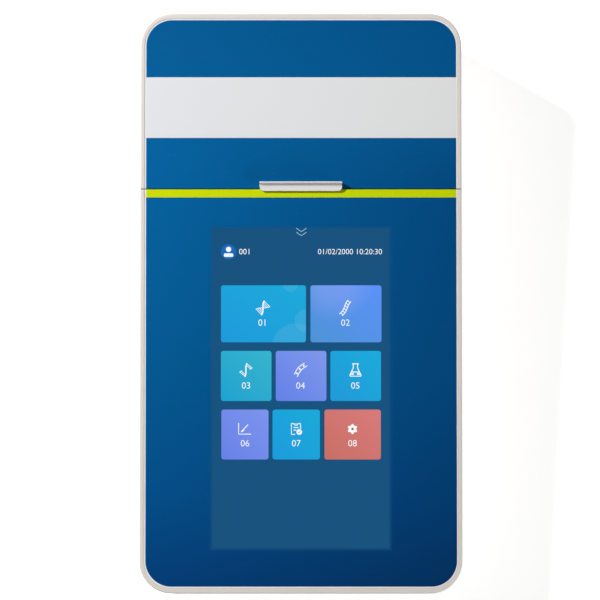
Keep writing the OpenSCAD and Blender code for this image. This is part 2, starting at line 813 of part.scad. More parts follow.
module switch_body() {
    hl = rocker_l + rocker_gap + 0.3;
    hh = rocker_h + move_gap;
    color([0.04, 0.04, 0.04]) deck() translate([switch_x, 0, switch_z]) difference() {
        union() {
            translate([-hl - 1, rear_y - 14, -hh - 1]) cube([2 * hl + 2, 14 + 0.2, 2 * hh + 2]);
            translate([0, rear_y, 0]) rotate([-90, 0, 0]) linear_extrude(flange_t) round_rect(2 * hl + 4, 2 * hh + 4, 1);
            // two blades behind
            for (s = [-1, 1]) translate([s * 3 - 0.4, rear_y - 18, -2.4]) cube([0.8, 5, 4.8]);
        }
        translate([-hl, pivot_y - 5.5, -hh]) cube([2 * hl, 20, 2 * hh]);
        translate([0, pivot_y, 0]) cylinder(r = 0.9 + run_fit, h = 4 * hh, center = true);
    }
}

// The rocker rests with its -x end pressed in. Its outer face is a shallow V, so that each half lies
// level when the other half is up.
module power_rocker() {
    color([0.07, 0.07, 0.07]) deck() translate([switch_x, pivot_y, switch_z]) rotate(rock / 2) {
        translate([0, 0, -rocker_h]) linear_extrude(2 * rocker_h) {
            polygon([[-rocker_l, -1.6], [-rocker_l, rocker_top], [0, rocker_top - 0.6], [rocker_l, rocker_top],
                     [rocker_l, -1.6], [1.6, -2.4], [-1.6, -2.4]]);
        }
        cylinder(r = 0.9, h = 2 * rocker_h + 2, center = true);
    }
}

// ---- Lid ----

module hinge_pins() {
    color([0.70, 0.71, 0.73]) deck() hinge_bores(pin_r);
}

// The lip seen from above, with its front corners rounded.
module handle_plan() {
    r = handle_corner;
    translate([0, lid_y - handle_reach]) {
        translate([-handle_w / 2, r]) square([handle_w, handle_d - r]);
        translate([-handle_w / 2 + r, 0]) square([handle_w - 2 * r, r + 0.5]);
        for (s = [-1, 1]) translate([s * (handle_w / 2 - r), r]) circle(r);
    }
}

// Notch in the printed sheet round the lip.
module handle_notch() {
    translate([-handle_w / 2 - drop_fit, lid_y - 1]) square([handle_w + 2 * drop_fit, handle_d - handle_reach + 1 + drop_fit]);
}

module lid_shell() {
    color([0.80, 0.78, 0.75]) deck() difference() {
        union() {
            difference() {
                intersection() {
                    translate([0, 0, -split_z]) soft_block(case_w, case_l, corner_r, split_z, edge_round);
                    slab(-lid_t, 1) translate([-far / 2, lid_y]) square([far, far]);
                }
                slab(-lid_t - 1, deck_under) between(lid_y + wall, rail_y) case_outline(wall);
            }
            lid_knuckles(knuckle_r);
            // posts for the lining's screws, and a pad for the handle's pegs
            in_corners(liner_post_x, liner_post_ys) rod(3, liner_z + liner_t, deck_under + 0.5);
            slab(deck_under - 4, deck_under + 0.5) translate([-handle_w / 2, lid_y + wall - 0.5]) square([handle_w, 3]);
        }
        slab(recess_z, 1) between(lid_y - 1, far) overlay_outline();
        difference() {
            stop_groove(1);
            lid_knuckles(knuckle_r);
        }
        case_knuckles(knuckle_r + move_gap, move_gap);
        hinge_bores(pin_r + run_fit);
        in_corners(liner_post_x, liner_post_ys) rod(small_r, liner_z, liner_z + liner_t + 4);
        for (p = handle_pegs) translate([p[0], p[1], 0]) rod(handle_peg_r, recess_z - 5, 1);
    }
}

module lid_liner() {
    color([0.05, 0.05, 0.06]) deck() difference() {
        union() {
            slab(liner_z, liner_z + liner_t) between(lid_y + wall + drop_fit, rail_y - drop_fit) case_outline(wall + drop_fit);
            translate([0, well_y, 0]) rod(cup_r + 1.2, liner_z, deck_under - 0.2);
            in_corners(magnet_x, [magnet_y]) rod(magnet_r + 1.2, liner_z, liner_z + 0.4 + magnet_t);
        }
        // dome over the tube's cap
        translate([0, well_y, 0]) rod(cup_r, liner_z - 1, deck_under - 1.4);
        in_corners(magnet_x, [magnet_y]) rod(magnet_r + 0.05, liner_z + 0.4, 0);
        in_corners(liner_post_x, liner_post_ys) {
            rod(small_r + 0.2, liner_z - 1, 0);
            rod(2 * small_r + 0.1, liner_z - 1, liner_z + 0.9);
        }
    }
}

module lid_overlay() {
    color([0.0, 0.34, 0.57]) deck() slab(recess_z, sheet_top) difference() {
        union() {
            between(case_l / 2 - band_start, far) overlay_outline();
            between(lid_y, case_l / 2 - band_start - band_w) overlay_outline();
        }
        handle_notch();
    }
}

module lid_band() {
    color([0.86, 0.86, 0.87]) deck() slab(recess_z, sheet_top)
        between(case_l / 2 - band_start - band_w, case_l / 2 - band_start) overlay_outline();
}

// The lip: a crest along its back and a hollowed face that a fingertip pulls up from the front.
module lid_handle() {
    crest = 0.45;
    sag = 0.6;
    run = handle_d - crest;
    fall = handle_h - handle_front_h;
    chord = sqrt(run * run + fall * fall);
    scoop_r = (chord * chord / 4 + sag * sag) / (2 * sag);
    front = lid_y - handle_reach;
    mid = [front + run / 2, handle_front_h + fall / 2];
    centre = mid + (scoop_r - sag) / chord * [-fall, run];
    color([0.83, 0.82, 0.80]) deck() {
        intersection() {
            slab(recess_z, handle_h + 1) handle_plan();
            along_x(far) difference() {
                union() {
                    translate([front, 0.15]) square([handle_d, handle_h - 0.15]);
                    translate([lid_y, recess_z]) square([handle_d - handle_reach, handle_h - recess_z]);
                }
                translate(centre) circle(scoop_r);
            }
        }
        for (p = handle_pegs) translate([p[0], p[1], 0]) rod(handle_peg_r, recess_z - handle_peg_l, recess_z + 0.5);
    }
}

module liner_screws() {
    color([0.5, 0.5, 0.52]) deck() in_corners(liner_post_x, liner_post_ys) {
        rod(2 * small_r, liner_z + 0.1, liner_z + 0.9);
        rod(small_r, liner_z + 0.8, liner_z + liner_t + liner_screw_l);
    }
}

module lid_magnets() {
    color([0.72, 0.72, 0.74]) deck() in_corners(magnet_x, [magnet_y]) rod(magnet_r, liner_z + 0.4, liner_z + 0.4 + magnet_t);
}

lower_case();
upper_case();
rubber_feet();
case_screws();
front_overlay();
accent_strip();
screen_glass();
display_panel();
display_frame();
display_flex();
main_board();
board_components();
board_screws();
buzzer();
bay_plate();
light_seal();
tube_well();
tube_seat();
base_magnets();
lid_sensor();
optics_block();
optics_screws();
blue_led();
red_led();
led_boards();
blue_filter();
red_filter();
emission_filter();
collector_lens();
photodiode();
detector_board();
io_board();
io_screws();
dc_jack();
dc_jack_pin();
usb_port();
usb_tongue();
switch_body();
power_rocker();
hinge_pins();
lid_shell();
lid_liner();
lid_overlay();
lid_band();
lid_handle();
liner_screws();
lid_magnets();
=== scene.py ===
# %% [markdown]
# # A benchtop fluorometer
# This lesson dresses a finished CAD model of a small laboratory reader. The case, lid, hinge,
# boards and sockets come from the CAD file and stay where they are. Blender adds the plastics
# and printed films, the lit picture on the display, small marks and contacts, and the studio.

# %% Load the CAD model
import math

import bpy
from mathutils import Matrix, Vector


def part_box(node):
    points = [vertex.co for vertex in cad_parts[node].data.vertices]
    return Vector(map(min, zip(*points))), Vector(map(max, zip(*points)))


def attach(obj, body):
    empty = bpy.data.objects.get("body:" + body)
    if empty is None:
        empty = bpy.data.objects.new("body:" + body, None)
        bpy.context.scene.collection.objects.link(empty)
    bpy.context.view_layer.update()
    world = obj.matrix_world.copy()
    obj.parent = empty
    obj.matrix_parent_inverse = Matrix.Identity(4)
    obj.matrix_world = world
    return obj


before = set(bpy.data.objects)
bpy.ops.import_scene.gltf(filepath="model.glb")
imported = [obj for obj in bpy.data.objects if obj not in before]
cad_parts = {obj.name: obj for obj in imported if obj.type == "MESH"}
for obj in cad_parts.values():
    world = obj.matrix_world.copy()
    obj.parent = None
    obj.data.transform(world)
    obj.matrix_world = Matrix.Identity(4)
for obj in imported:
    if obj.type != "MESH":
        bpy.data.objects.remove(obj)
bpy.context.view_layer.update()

# %% [markdown]
# ## Working on a sloped top
# The top of the case, its deck, rises 4 degrees to the back. Most new pieces lie on it, so they
# are made flat, in millimetres measured on the deck, and one matrix then lays them on the slope.
# The matrix is worked out from the display glass, whose far edge lies 28.7 mm up the deck.

# %% Find the deck
MM = 0.001
SLOPE = math.radians(4)
GLASS_FAR = 28.7
GLASS_TOP = -0.2
GLASS_UNDER = -1.0
glass_low, glass_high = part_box("screen_glass")
deck_y = glass_high.y - MM * (GLASS_FAR * math.cos(SLOPE) - GLASS_UNDER * math.sin(SLOPE))
deck_z = glass_high.z - MM * (GLASS_FAR * math.sin(SLOPE) + GLASS_TOP * math.cos(SLOPE))
DECK = Matrix.Translation((0, deck_y, deck_z)) @ Matrix.Rotation(SLOPE, 4, "X")


def on_deck(x, y, z=0.0):
    """Where a point measured on the deck, in millimetres, lies in the frame, in metres."""
    return DECK @ Vector((x * MM, y * MM, z * MM))


print("deck origin (mm):", [round(v / MM, 3) for v in DECK.translation])

# %% [markdown]
# ## Colours
# A screen colour such as (27, 163, 218) is not what a shader works with. Shaders add up light,
# so each channel is first turned into a linear amount.


# %% A helper for colours
def screen_colour(red, green, blue):
    """Linear colour for a shader from a screen colour of 0 to 255 a channel."""

    def linear(channel):
        share = channel / 255
        return share / 12.92 if share <= 0.04045 else ((share + 0.055) / 1.055) ** 2.4

    return (linear(red), linear(green), linear(blue), 1.0)


CASE_GREY = (216, 209, 203)
DUST = (188, 184, 176)
# The colour of the painted shade in narrow seams.
SEAM_SHADE = (46, 41, 38)
BLACK = (0.0, 0.0, 0.0, 1.0)
print("case grey in linear light:", [round(c, 3) for c in screen_colour(*CASE_GREY)])

# %% [markdown]
# ## Helpers for shader nodes
# Every finish below is a small tree of nodes. A few helpers keep the trees short: they add a node
# and fill in its inputs, join sockets, do one step of arithmetic, mix two colours by a mask, or
# map one range of values onto another.


# %% Node helpers
def put(tree, kind, inputs=None, **settings):
    """Add a shader node, set its properties and then its inputs by name or number."""
    node = tree.nodes.new(kind)
    for key, value in settings.items():
        setattr(node, key, value)
    for key, value in (inputs or {}).items():
        node.inputs[key].default_value = value
    return node


def join(tree, source, target):
    """Run a link from an output socket to an input socket."""
    tree.links.new(source, target)


def feed(tree, node, values):
    """Give a node's numbered inputs their values, each a plain value or a socket to join."""
    for number, value in values.items():
        if isinstance(value, (int, float, tuple, Vector)):
            node.inputs[number].default_value = value
        else:
            join(tree, value, node.inputs[number])


def sums(tree, operation, *values):
    """One step of arithmetic on numbers, as a socket."""
    node = put(tree, "ShaderNodeMath", operation=operation)
    feed(tree, node, dict(enumerate(values)))
    return node.outputs[0]


def vectors(tree, operation, *values):
    """One step of arithmetic on vectors, as a socket."""
    node = put(tree, "ShaderNodeVectorMath", operation=operation)
    feed(tree, node, dict(enumerate(values)))
    is_number = operation in ("DOT_PRODUCT", "LENGTH", "DISTANCE")
    return node.outputs["Value" if is_number else "Vector"]


def parts_of(tree, place):
    """The X, Y and Z outputs of a place."""
    node = put(tree, "ShaderNodeSeparateXYZ")
    join(tree, place, node.inputs[0])
    return node.outputs


def mixed(tree, mask, first, second):
    """A colour that goes from first to second as the mask goes from 0 to 1."""
    node = put(tree, "ShaderNodeMix", data_type="RGBA")
    feed(tree, node, {0: mask, 6: first, 7: second})
    return node.outputs[2]


def stretched(tree, value, low, high, to_low=0.0, to_high=1.0):
    """Map a value's range onto another one, clamped, as a socket."""
    node = put(tree, "ShaderNodeMapRange", {1: low, 2: high, 3: to_low, 4: to_high})
    join(tree, value, node.inputs[0])
    return node.outputs[0]


print("node helpers: put, join, feed, sums, vectors, parts_of, mixed, stretched")

# %% [markdown]
# ## Skin: what every moulded surface shares
# A moulded or machined edge is never knife-sharp, and its face has a fine grain. The Bevel node
# rounds the shading of edges without touching the mesh. Comparing its normal with the true one
# gives a mask of the edges. The grain is noise at a few tenths of a millimetre. Narrow seams,
# which open sky hardly reaches, get painted shade: an ambient occlusion node finds them, and the
# colour there is darkened. All of it goes into one node group, so a material only sets the
# grain's size and depth and the edge's radius.


# %% The skin group
def start_group(name, inputs, outputs):
    """A new shader group with named sockets; returns the tree and its two end nodes."""
    group = bpy.data.node_groups.new(name, "ShaderNodeTree")
    for title, kind, value in inputs:
        socket = group.interface.new_socket(title, in_out="INPUT", socket_type=kind)
        if value is not None:
            socket.default_value = value
    for title, kind in outputs:
        group.interface.new_socket(title, in_out="OUTPUT", socket_type=kind)
    return group, put(group, "NodeGroupInput"), put(group, "NodeGroupOutput")


skin, ins, outs = start_group(
    "moulded_skin",
    [
        ("Place", "NodeSocketVector", None),
        ("Grain Scale", "NodeSocketFloat", 3000.0),
        ("Grain Depth", "NodeSocketFloat", 0.2),
        ("Edge Radius", "NodeSocketFloat", 0.0003),
    ],
    [("Normal", "NodeSocketVector"), ("Edge", "NodeSocketFloat"), ("Crease Shade", "NodeSocketFloat")],
)
GRAIN_HEIGHT = 0.05 * MM
SEAM_REACH = 1.2 * MM
round_edge = put(skin, "ShaderNodeBevel", samples=4)
join(skin, ins.outputs["Edge Radius"], round_edge.inputs["Radius"])
true_face = put(skin, "ShaderNodeNewGeometry").outputs["True Normal"]
along = vectors(skin, "DOT_PRODUCT", round_edge.outputs[0], true_face)
join(skin, stretched(skin, along, 0.995, 0.80), outs.inputs["Edge"])
fine = put(skin, "ShaderNodeTexNoise", {"Detail": 3.0, "Roughness": 0.6})
join(skin, ins.outputs["Place"], fine.inputs["Vector"])
join(skin, ins.outputs["Grain Scale"], fine.inputs["Scale"])
bump = put(skin, "ShaderNodeBump", {"Distance": GRAIN_HEIGHT})
join(skin, ins.outputs["Grain Depth"], bump.inputs["Strength"])
join(skin, fine.outputs[0], bump.inputs["Height"])
join(skin, round_edge.outputs[0], bump.inputs["Normal"])
join(skin, bump.outputs[0], outs.inputs["Normal"])
# Painted shade: the ambient occlusion below finds narrow seams, where finishes darken their
# colour.
nook = put(skin, "ShaderNodeAmbientOcclusion", {"Distance": SEAM_REACH}, samples=6)
join(skin, stretched(skin, nook.outputs["AO"], 0.44, 0.10), outs.inputs["Crease Shade"])
print("group:", skin.name, "with", len(skin.nodes), "nodes")

# %% [markdown]
# ## Wear: smudges, specks and dust
# A reader on a bench is handled every day. Broad soft patches show where a hand rested, small
# specks are dust, and long faint streaks are left by a wiping cloth. The group puts out these
# three masks, and a material decides how much each one darkens, lightens or dulls it.

# %% The wear group
wear, ins, outs = start_group(
    "bench_wear",
    [
        ("Place", "NodeSocketVector", None),
        ("Patch Scale", "NodeSocketFloat", 25.0),
        ("Speck Scale", "NodeSocketFloat", 900.0),
    ],
    [("Smudge", "NodeSocketFloat"), ("Speck", "NodeSocketFloat"), ("Wipe", "NodeSocketFloat")],
)
patches = put(wear, "ShaderNodeTexNoise", {"Detail": 4.0, "Roughness": 0.55, "Distortion": 0.6})
join(wear, ins.outputs["Place"], patches.inputs["Vector"])
join(wear, ins.outputs["Patch Scale"], patches.inputs["Scale"])
join(wear, stretched(wear, patches.outputs[0], 0.38, 0.68), outs.inputs["Smudge"])
specks = put(wear, "ShaderNodeTexVoronoi", {"Randomness": 1.0}, feature="F1")
join(wear, ins.outputs["Place"], specks.inputs["Vector"])
join(wear, ins.outputs["Speck Scale"], specks.inputs["Scale"])
near_speck = stretched(wear, specks.outputs["Distance"], 0.16, 0.06)
rare = put(wear, "ShaderNodeTexNoise", {"Scale": 160.0, "Detail": 1.0})
join(wear, ins.outputs["Place"], rare.inputs["Vector"])
some = stretched(wear, rare.outputs[0], 0.58, 0.66)
join(wear, sums(wear, "MULTIPLY", near_speck, some), outs.inputs["Speck"])
turned = put(wear, "ShaderNodeMapping", {"Rotation": (0, 0, 0.5), "Scale": (1.0, 9.0, 1.0)})
join(wear, ins.outputs["Place"], turned.inputs["Vector"])
wipes = put(wear, "ShaderNodeTexNoise", {"Scale": 60.0, "Detail": 2.0})
join(wear, turned.outputs[0], wipes.inputs["Vector"])
join(wear, stretched(wear, wipes.outputs[0], 0.45, 0.7), outs.inputs["Wipe"])
print("group:", wear.name, "with", len(wear.nodes), "nodes")

# %% [markdown]
# ## A maker for finishes
# Plastics, metals and rubber differ in colour, gloss and grain, but are built the same way: a base
# colour, a second colour that the smudges bring in, specks of dust, a lighter edge that is a
# painted highlight and rubbed wear, painted shade in narrow seams, and a roughness that follows
# the smudges and the wiped streaks. Numbers that are the same all over a surface, such as how
# metallic it is, are set on the shader itself.


# %% The maker
def use_group(tree, group, place, **values):
    """Place a shared group in a material, with its own values."""
    node = put(tree, "ShaderNodeGroup", node_tree=group)
    join(tree, place, node.inputs["Place"])
    for title, value in values.items():
        node.inputs[title.replace("_", " ")].default_value = value
    return node


def new_finish(name):
    """An empty material with its tree, its shader and the piece's own coordinates, which stay
    with the piece when the lid opens."""
    material = bpy.data.materials.new(name)
    material.use_nodes = True
    tree = material.node_tree
    shader = next(n for n in tree.nodes if n.type == "BSDF_PRINCIPLED")
    return material, tree, shader, put(tree, "ShaderNodeTexCoord").outputs["Object"]


def rough_by(tree, masks, smooth, rough):
    """Roughness from smooth to rough, following the smudges and the wiped streaks."""
    dull = sums(tree, "MULTIPLY_ADD", masks.outputs["Smudge"], 0.7, masks.outputs["Wipe"])
    return stretched(tree, dull, 0.0, 1.5, smooth, rough)


def share_of(tree, mask, most):
    """A mask that goes no further than a given share."""
    return stretched(tree, mask, 0.0, 1.0, 0.0, most)


def flattened(tree, facing, amount):
    """A normal pulled upward, more where it already looks up, so that a hollow looks shallower."""
    turned_up = put(tree, "ShaderNodeVectorTransform",
                    {0: (0.0, -math.sin(SLOPE), math.cos(SLOPE))},
                    vector_type="NORMAL", convert_from="OBJECT", convert_to="WORLD")
    upward = turned_up.outputs[0]
    lean = vectors(tree, "DOT_PRODUCT", facing, upward)
    pull = put(tree, "ShaderNodeVectorMath", operation="SCALE")
    join(tree, upward, pull.inputs[0])
    join(tree, stretched(tree, lean, 0.1, 0.6, 0.0, amount), pull.inputs["Scale"])
    return vectors(tree, "NORMALIZE", vectors(tree, "ADD", facing, pull.outputs[0]))


def surface(name, colour, second, roughness, grain, edge=0.0003, edge_colour=None,
            second_share=0.5, speck=0.25, soften=0.0, **fixed):
    """A finish from the skin and wear groups. Fixed values, such as Metallic, go by name."""
    material, tree, shader, place = new_finish(name)
    face = use_group(tree, skin, place, Grain_Scale=grain[0], Grain_Depth=grain[1],
                     Edge_Radius=edge)
    masks = use_group(tree, wear, place, Patch_Scale=25.0)
    smudge = share_of(tree, masks.outputs["Smudge"], second_share)
    base = mixed(tree, smudge, screen_colour(*colour), screen_colour(*second))
    dust = share_of(tree, masks.outputs["Speck"], speck)
    base = mixed(tree, dust, base, screen_colour(*DUST))
    # Painted highlight along edges, which also stands for rubbed wear: the colour lightens toward
    # the edge colour on the Bevel edge mask.
    if edge_colour:
        edge_wear_and_highlight = share_of(tree, face.outputs["Edge"], 0.7)
        base = mixed(tree, edge_wear_and_highlight, base, screen_colour(*edge_colour))
    # Painted shade in narrow seams: the colour is darkened where the ambient occlusion mask is
    # high.
    seam_shade = share_of(tree, face.outputs["Crease Shade"], 0.9)
    base = mixed(tree, seam_shade, base, screen_colour(*SEAM_SHADE))
    join(tree, base, shader.inputs["Base Color"])
    join(tree, rough_by(tree, masks, *roughness), shader.inputs["Roughness"])
    facing = face.outputs["Normal"]
    if soften:
        facing = flattened(tree, facing, soften)
    join(tree, facing, shader.inputs["Normal"])
    for title, value in fixed.items():
        shader.inputs[title.replace("_", " ")].default_value = value
    return material


print("finish maker ready")

# %% [markdown]
# ## Plastics, rubber and metals
# The shell is warm grey ABS with a fine spark-eroded grain. Inside the lid the parts are black and
# dull, because stray light would spoil a reading. Sockets are bare nickel, screws are zinc plated
# steel and the optics block is black anodised aluminium.

# %% Make the plain finishes
LOOKS = {
    "case_plastic": dict(
        colour=CASE_GREY, second=(208, 201, 194), roughness=(0.42, 0.58), grain=(4200.0, 0.35),
        edge_colour=(226, 221, 216), second_share=0.4),
    # The handle's near-white edge colour is a painted highlight along its crest.
    "handle_plastic": dict(
        colour=(222, 219, 218), second=(217, 214, 211), roughness=(0.34, 0.5),
        grain=(5200.0, 0.05), edge=0.00022, edge_colour=(252, 253, 255), second_share=0.35,
        soften=1.2),
    "black_plastic": dict(
        colour=(26, 27, 30), second=(37, 38, 41), roughness=(0.45, 0.66), grain=(2600.0, 0.5),
        edge_colour=(58, 59, 62), speck=0.5),
    "rocker_plastic": dict(
        colour=(20, 20, 22), second=(30, 30, 33), roughness=(0.22, 0.42), grain=(5200.0, 0.08),
        edge_colour=(52, 53, 56)),
    "white_plastic": dict(
        colour=(226, 226, 220), second=(214, 213, 205), roughness=(0.35, 0.5),
        grain=(4200.0, 0.1), edge=0.0002),
    "rubber": dict(
        colour=(30, 30, 31), second=(44, 43, 42), roughness=(0.7, 0.9), grain=(1800.0, 0.6),
        edge=0.0004, edge_colour=(66, 65, 63), speck=0.6, Specular_IOR_Level=0.3),
    "steel": dict(
        colour=(176, 178, 182), second=(146, 147, 150), roughness=(0.26, 0.46),
        grain=(2400.0, 0.12), edge=0.0002, edge_colour=(206, 207, 210), speck=0.1,
        Metallic=1.0),
    "nickel": dict(
        colour=(205, 203, 196), second=(178, 174, 165), roughness=(0.18, 0.36),
        grain=(1600.0, 0.08), edge=0.0002, edge_colour=(226, 224, 218), speck=0.1,
        Metallic=1.0),
    "black_aluminium": dict(
        colour=(24, 25, 28), second=(34, 35, 40), roughness=(0.3, 0.48), grain=(6000.0, 0.25),
        edge_colour=(120, 122, 126), speck=0.2, Metallic=0.6),
    "display_black": dict(
        colour=(12, 13, 16), second=(20, 21, 25), roughness=(0.2, 0.34), grain=(3000.0, 0.05),
        edge=0.0002, edge_colour=(60, 62, 66)),
}
finishes = {name: surface(name, **look) for name, look in LOOKS.items()}
print("finishes:", ", ".join(finishes))

# %% [markdown]
# ## The printed film
# A thin polyester film is printed from behind in blue. Its colour deepens from the upper left to
# the lower right. Two colour ramps hold the left and the right edge, from the front to the back,
# and a mask goes from one to the other across the width. All of it reads the piece's own
# coordinates, so the two films, on the lid and on the case, share one picture.

# %% Film colours and size
HALF_WIDTH = 58.2 * MM
FILM_FRONT = -105.7 * MM
FILM_BACK = 105.95 * MM
FILM_CORNER = 10.0 * MM
FILM_EDGE = 0.45 * MM
INK_SHIFT = (0.15 * MM, -0.05 * MM)
FILM_GRAIN = 0.03
FILM_SHINE = 0.3
FILM_DUST = (190, 198, 205)
CLEAR_EDGE = (240, 242, 246)
LEFT_INK = [(0.0, (1, 62, 120)), (0.16, (0, 78, 137)), (0.45, (0, 90, 147)),
            (0.75, (0, 95, 155)), (1.0, (0, 87, 142))]
RIGHT_INK = [(0.0, (1, 50, 96)), (0.12, (0, 58, 111)), (0.35, (0, 69, 122)),
             (0.70, (0, 72, 126)), (0.82, (0, 83, 138)), (1.0, (0, 78, 134))]


def ink_ramp(tree, value, stops):
    """A colour ramp from a list of (position, screen colour)."""
    node = put(tree, "ShaderNodeValToRGB")
    ramp = node.color_ramp
    while len(ramp.elements) < len(stops):
        ramp.elements.new(0.5)
    for element, (position, colour) in zip(ramp.elements, stops):
        element.position = position
        element.color = screen_colour(*colour)
    join(tree, value, node.inputs[0])
    return node.outputs[0]


def film_ink(tree, place, left, right):
    """Ink that goes from the left list of colours to the right one across the film."""
    axes = parts_of(tree, place)
    across = stretched(tree, axes["X"], -HALF_WIDTH, HALF_WIDTH)
    upward = stretched(tree, axes["Y"], FILM_FRONT, FILM_BACK)
    return mixed(tree, across, ink_ramp(tree, upward, left), ink_ramp(tree, upward, right))


print("film (mm):", round(2 * HALF_WIDTH / MM, 1), "by", round((FILM_BACK - FILM_FRONT) / MM, 1))

# %% [markdown]
# ## The film's pale edge
# The film is die-cut a little outside its ink, so a pale line of clear film runs round it, a hair
# wider on the left, because ink and cut never meet exactly. How far a point lies inside a rounded
# rectangle is a short sum: fold the point into one corner, measure from the middle of that
# corner's arc, and compare with the arc's radius.


# %% The film's pale edge
def edge_of_film(tree, place):
    """A mask that is 1 on the pale line along the film's outline and 0 on the ink."""
    middle = (INK_SHIFT[0],
              deck_y + INK_SHIFT[1] + (FILM_FRONT + FILM_BACK) / 2 * math.cos(SLOPE), 0.0)
    reach = (HALF_WIDTH - FILM_CORNER,
             (FILM_BACK - FILM_FRONT) / 2 * math.cos(SLOPE) - FILM_CORNER, 1.0)
    folded = vectors(tree, "ABSOLUTE", vectors(tree, "SUBTRACT", place, middle))
    past = vectors(tree, "MAXIMUM", vectors(tree, "SUBTRACT", folded, reach), (0.0, 0.0, 0.0))
    distance = vectors(tree, "LENGTH", past)
    return stretched(tree, distance, FILM_CORNER - FILM_EDGE, FILM_CORNER - 0.7 * FILM_EDGE)


def printed_film(name, left, right, roughness):
    """A satin film whose ink goes from the left list of colours to the right one."""
    material, tree, shader, place = new_finish(name)
    ink = film_ink(tree, place, left, right)
    masks = use_group(tree, wear, place, Patch_Scale=18.0, Speck_Scale=700.0)
    dust = share_of(tree, masks.outputs["Speck"], 0.05)
    ink = mixed(tree, dust, ink, screen_colour(*FILM_DUST))
    join(tree, mixed(tree, edge_of_film(tree, place), ink, screen_colour(*CLEAR_EDGE)),
         shader.inputs["Base Color"])
    join(tree, rough_by(tree, masks, *roughness), shader.inputs["Roughness"])
    face = use_group(tree, skin, place, Grain_Scale=3600.0, Grain_Depth=FILM_GRAIN,
                     Edge_Radius=0.0002)
    join(tree, face.outputs["Normal"], shader.inputs["Normal"])
    shader.inputs["Specular IOR Level"].default_value = FILM_SHINE
    return material


finishes["blue_print"] = printed_film("blue_print", LEFT_INK, RIGHT_INK, (0.23, 0.26))
finishes["band_print"] = printed_film(
    "band_print", [(0.0, (221, 222, 226)), (1.0, (219, 220, 224))],
    [(0.0, (217, 219, 218)), (1.0, (219, 220, 219))], (0.30, 0.40),
)
finishes["accent_print"] = printed_film(
    "accent_print", [(0.0, (201, 213, 0)), (1.0, (198, 214, 0))],
    [(0.0, (187, 205, 0)), (1.0, (190, 206, 0))], (0.26, 0.34),
)
print("films: blue_print, band_print, accent_print")

# %% [markdown]
# ## Glass, lenses and boards
# The two light sources have clear domes over a blue and a red chip, with colour filters in front.
# Circuit boards are green lacquer over copper tracks, and the display's ribbon is amber film.


# %% Clear and coloured glass
def lens(name, colour, roughness):
    """Coloured glass or clear resin, with faint flow marks in its surface."""
    material, tree, shader, place = new_finish(name)
    flow = put(tree, "ShaderNodeTexNoise", {"Scale": 400.0, "Detail": 2.0})
    join(tree, place, flow.inputs["Vector"])
    tint = mixed(tree, flow.outputs[0], screen_colour(*colour),
                 screen_colour(*[min(255, c + 14) for c in colour]))
    join(tree, tint, shader.inputs["Base Color"])
    join(tree, stretched(tree, flow.outputs[0], 0.3, 0.7, roughness, roughness + 0.05),
         shader.inputs["Roughness"])
    ripple = put(tree, "ShaderNodeBump", {"Strength": 0.05, "Distance": 0.0001})
    join(tree, flow.outputs[0], ripple.inputs["Height"])
    join(tree, ripple.outputs[0], shader.inputs["Normal"])
    shader.inputs["Transmission Weight"].default_value = 0.85
    shader.inputs["IOR"].default_value = 1.5
    return material


for name, colour, roughness in (("blue_lens", (60, 120, 235), 0.04),
                                ("red_lens", (225, 60, 50), 0.04),
                                ("green_filter", (70, 190, 120), 0.02),
                                ("clear_glass", (232, 240, 240), 0.01)):
    finishes[name] = lens(name, colour, roughness)
print("glass:", ", ".join(list(finishes)[-4:]))


# %% Circuit board and copper ribbon
def tracked(name, ground, track, roughness, track_scale):
    """A lacquered board or ribbon with straight tracks under the lacquer."""
    material, tree, shader, place = new_finish(name)
    flat = put(tree, "ShaderNodeMapping", {"Scale": (1.0, 0.35, 1.0)})
    join(tree, place, flat.inputs["Vector"])
    bricks = put(tree, "ShaderNodeTexBrick", {
        "Scale": track_scale, "Mortar Size": 0.06, "Mortar Smooth": 0.1, "Bias": 0.0,
        "Color1": screen_colour(*ground), "Color2": screen_colour(*[c * 0.9 for c in ground]),
        "Mortar": screen_colour(*track),
    })
    join(tree, flat.outputs[0], bricks.inputs["Vector"])
    masks = use_group(tree, wear, place, Patch_Scale=60.0)
    dust = share_of(tree, masks.outputs["Speck"], 0.4)
    join(tree, mixed(tree, dust, bricks.outputs["Color"], screen_colour(190, 186, 178)),
         shader.inputs["Base Color"])
    join(tree, rough_by(tree, masks, *roughness), shader.inputs["Roughness"])
    rise = put(tree, "ShaderNodeBump", {"Strength": 0.3, "Distance": 0.00004})
    join(tree, bricks.outputs["Fac"], rise.inputs["Height"])
    join(tree, rise.outputs[0], shader.inputs["Normal"])
    return material


finishes["circuit_board"] = tracked(
    "circuit_board", (18, 84, 52), (44, 120, 74), (0.3, 0.45), 260.0)
finishes["copper_flex"] = tracked(
    "copper_flex", (176, 104, 40), (208, 150, 82), (0.25, 0.4), 500.0)
print("glass, boards and ribbon added:", len(finishes), "finishes")

# %% [markdown]
# ## The display's glass
# The display is on. Its background is a muted blue that the panel lights from within. The film's
# ink fades out over the border of the window, so the picture has a soft edge and no frame. The
# surface is bonded glass with a faint haze, so it stays glossy over the lit picture.

# %% The lit background
SOFT_EDGE = 1.5
WINDOW_X = 34.0
WINDOW_NEAR = -92.3
WINDOW_FAR = GLASS_FAR
PANEL_SHINE = 0.25
PANEL_LIGHT = 0.96
PANEL_ROUGH = (0.15, 0.19)
UNLIT = 0.97


def lit(tree, shader, light, place):
    """Make a shader give light of its own colour, behind a glossy front."""
    masks = use_group(tree, wear, place, Patch_Scale=30.0, Speck_Scale=600.0)
    join(tree, rough_by(tree, masks, *PANEL_ROUGH), shader.inputs["Roughness"])
    join(tree, mixed(tree, UNLIT, light, BLACK), shader.inputs["Base Color"])
    join(tree, light, shader.inputs["Emission Color"])
    shader.inputs["Emission Strength"].default_value = PANEL_LIGHT
    shader.inputs["Specular IOR Level"].default_value = PANEL_SHINE


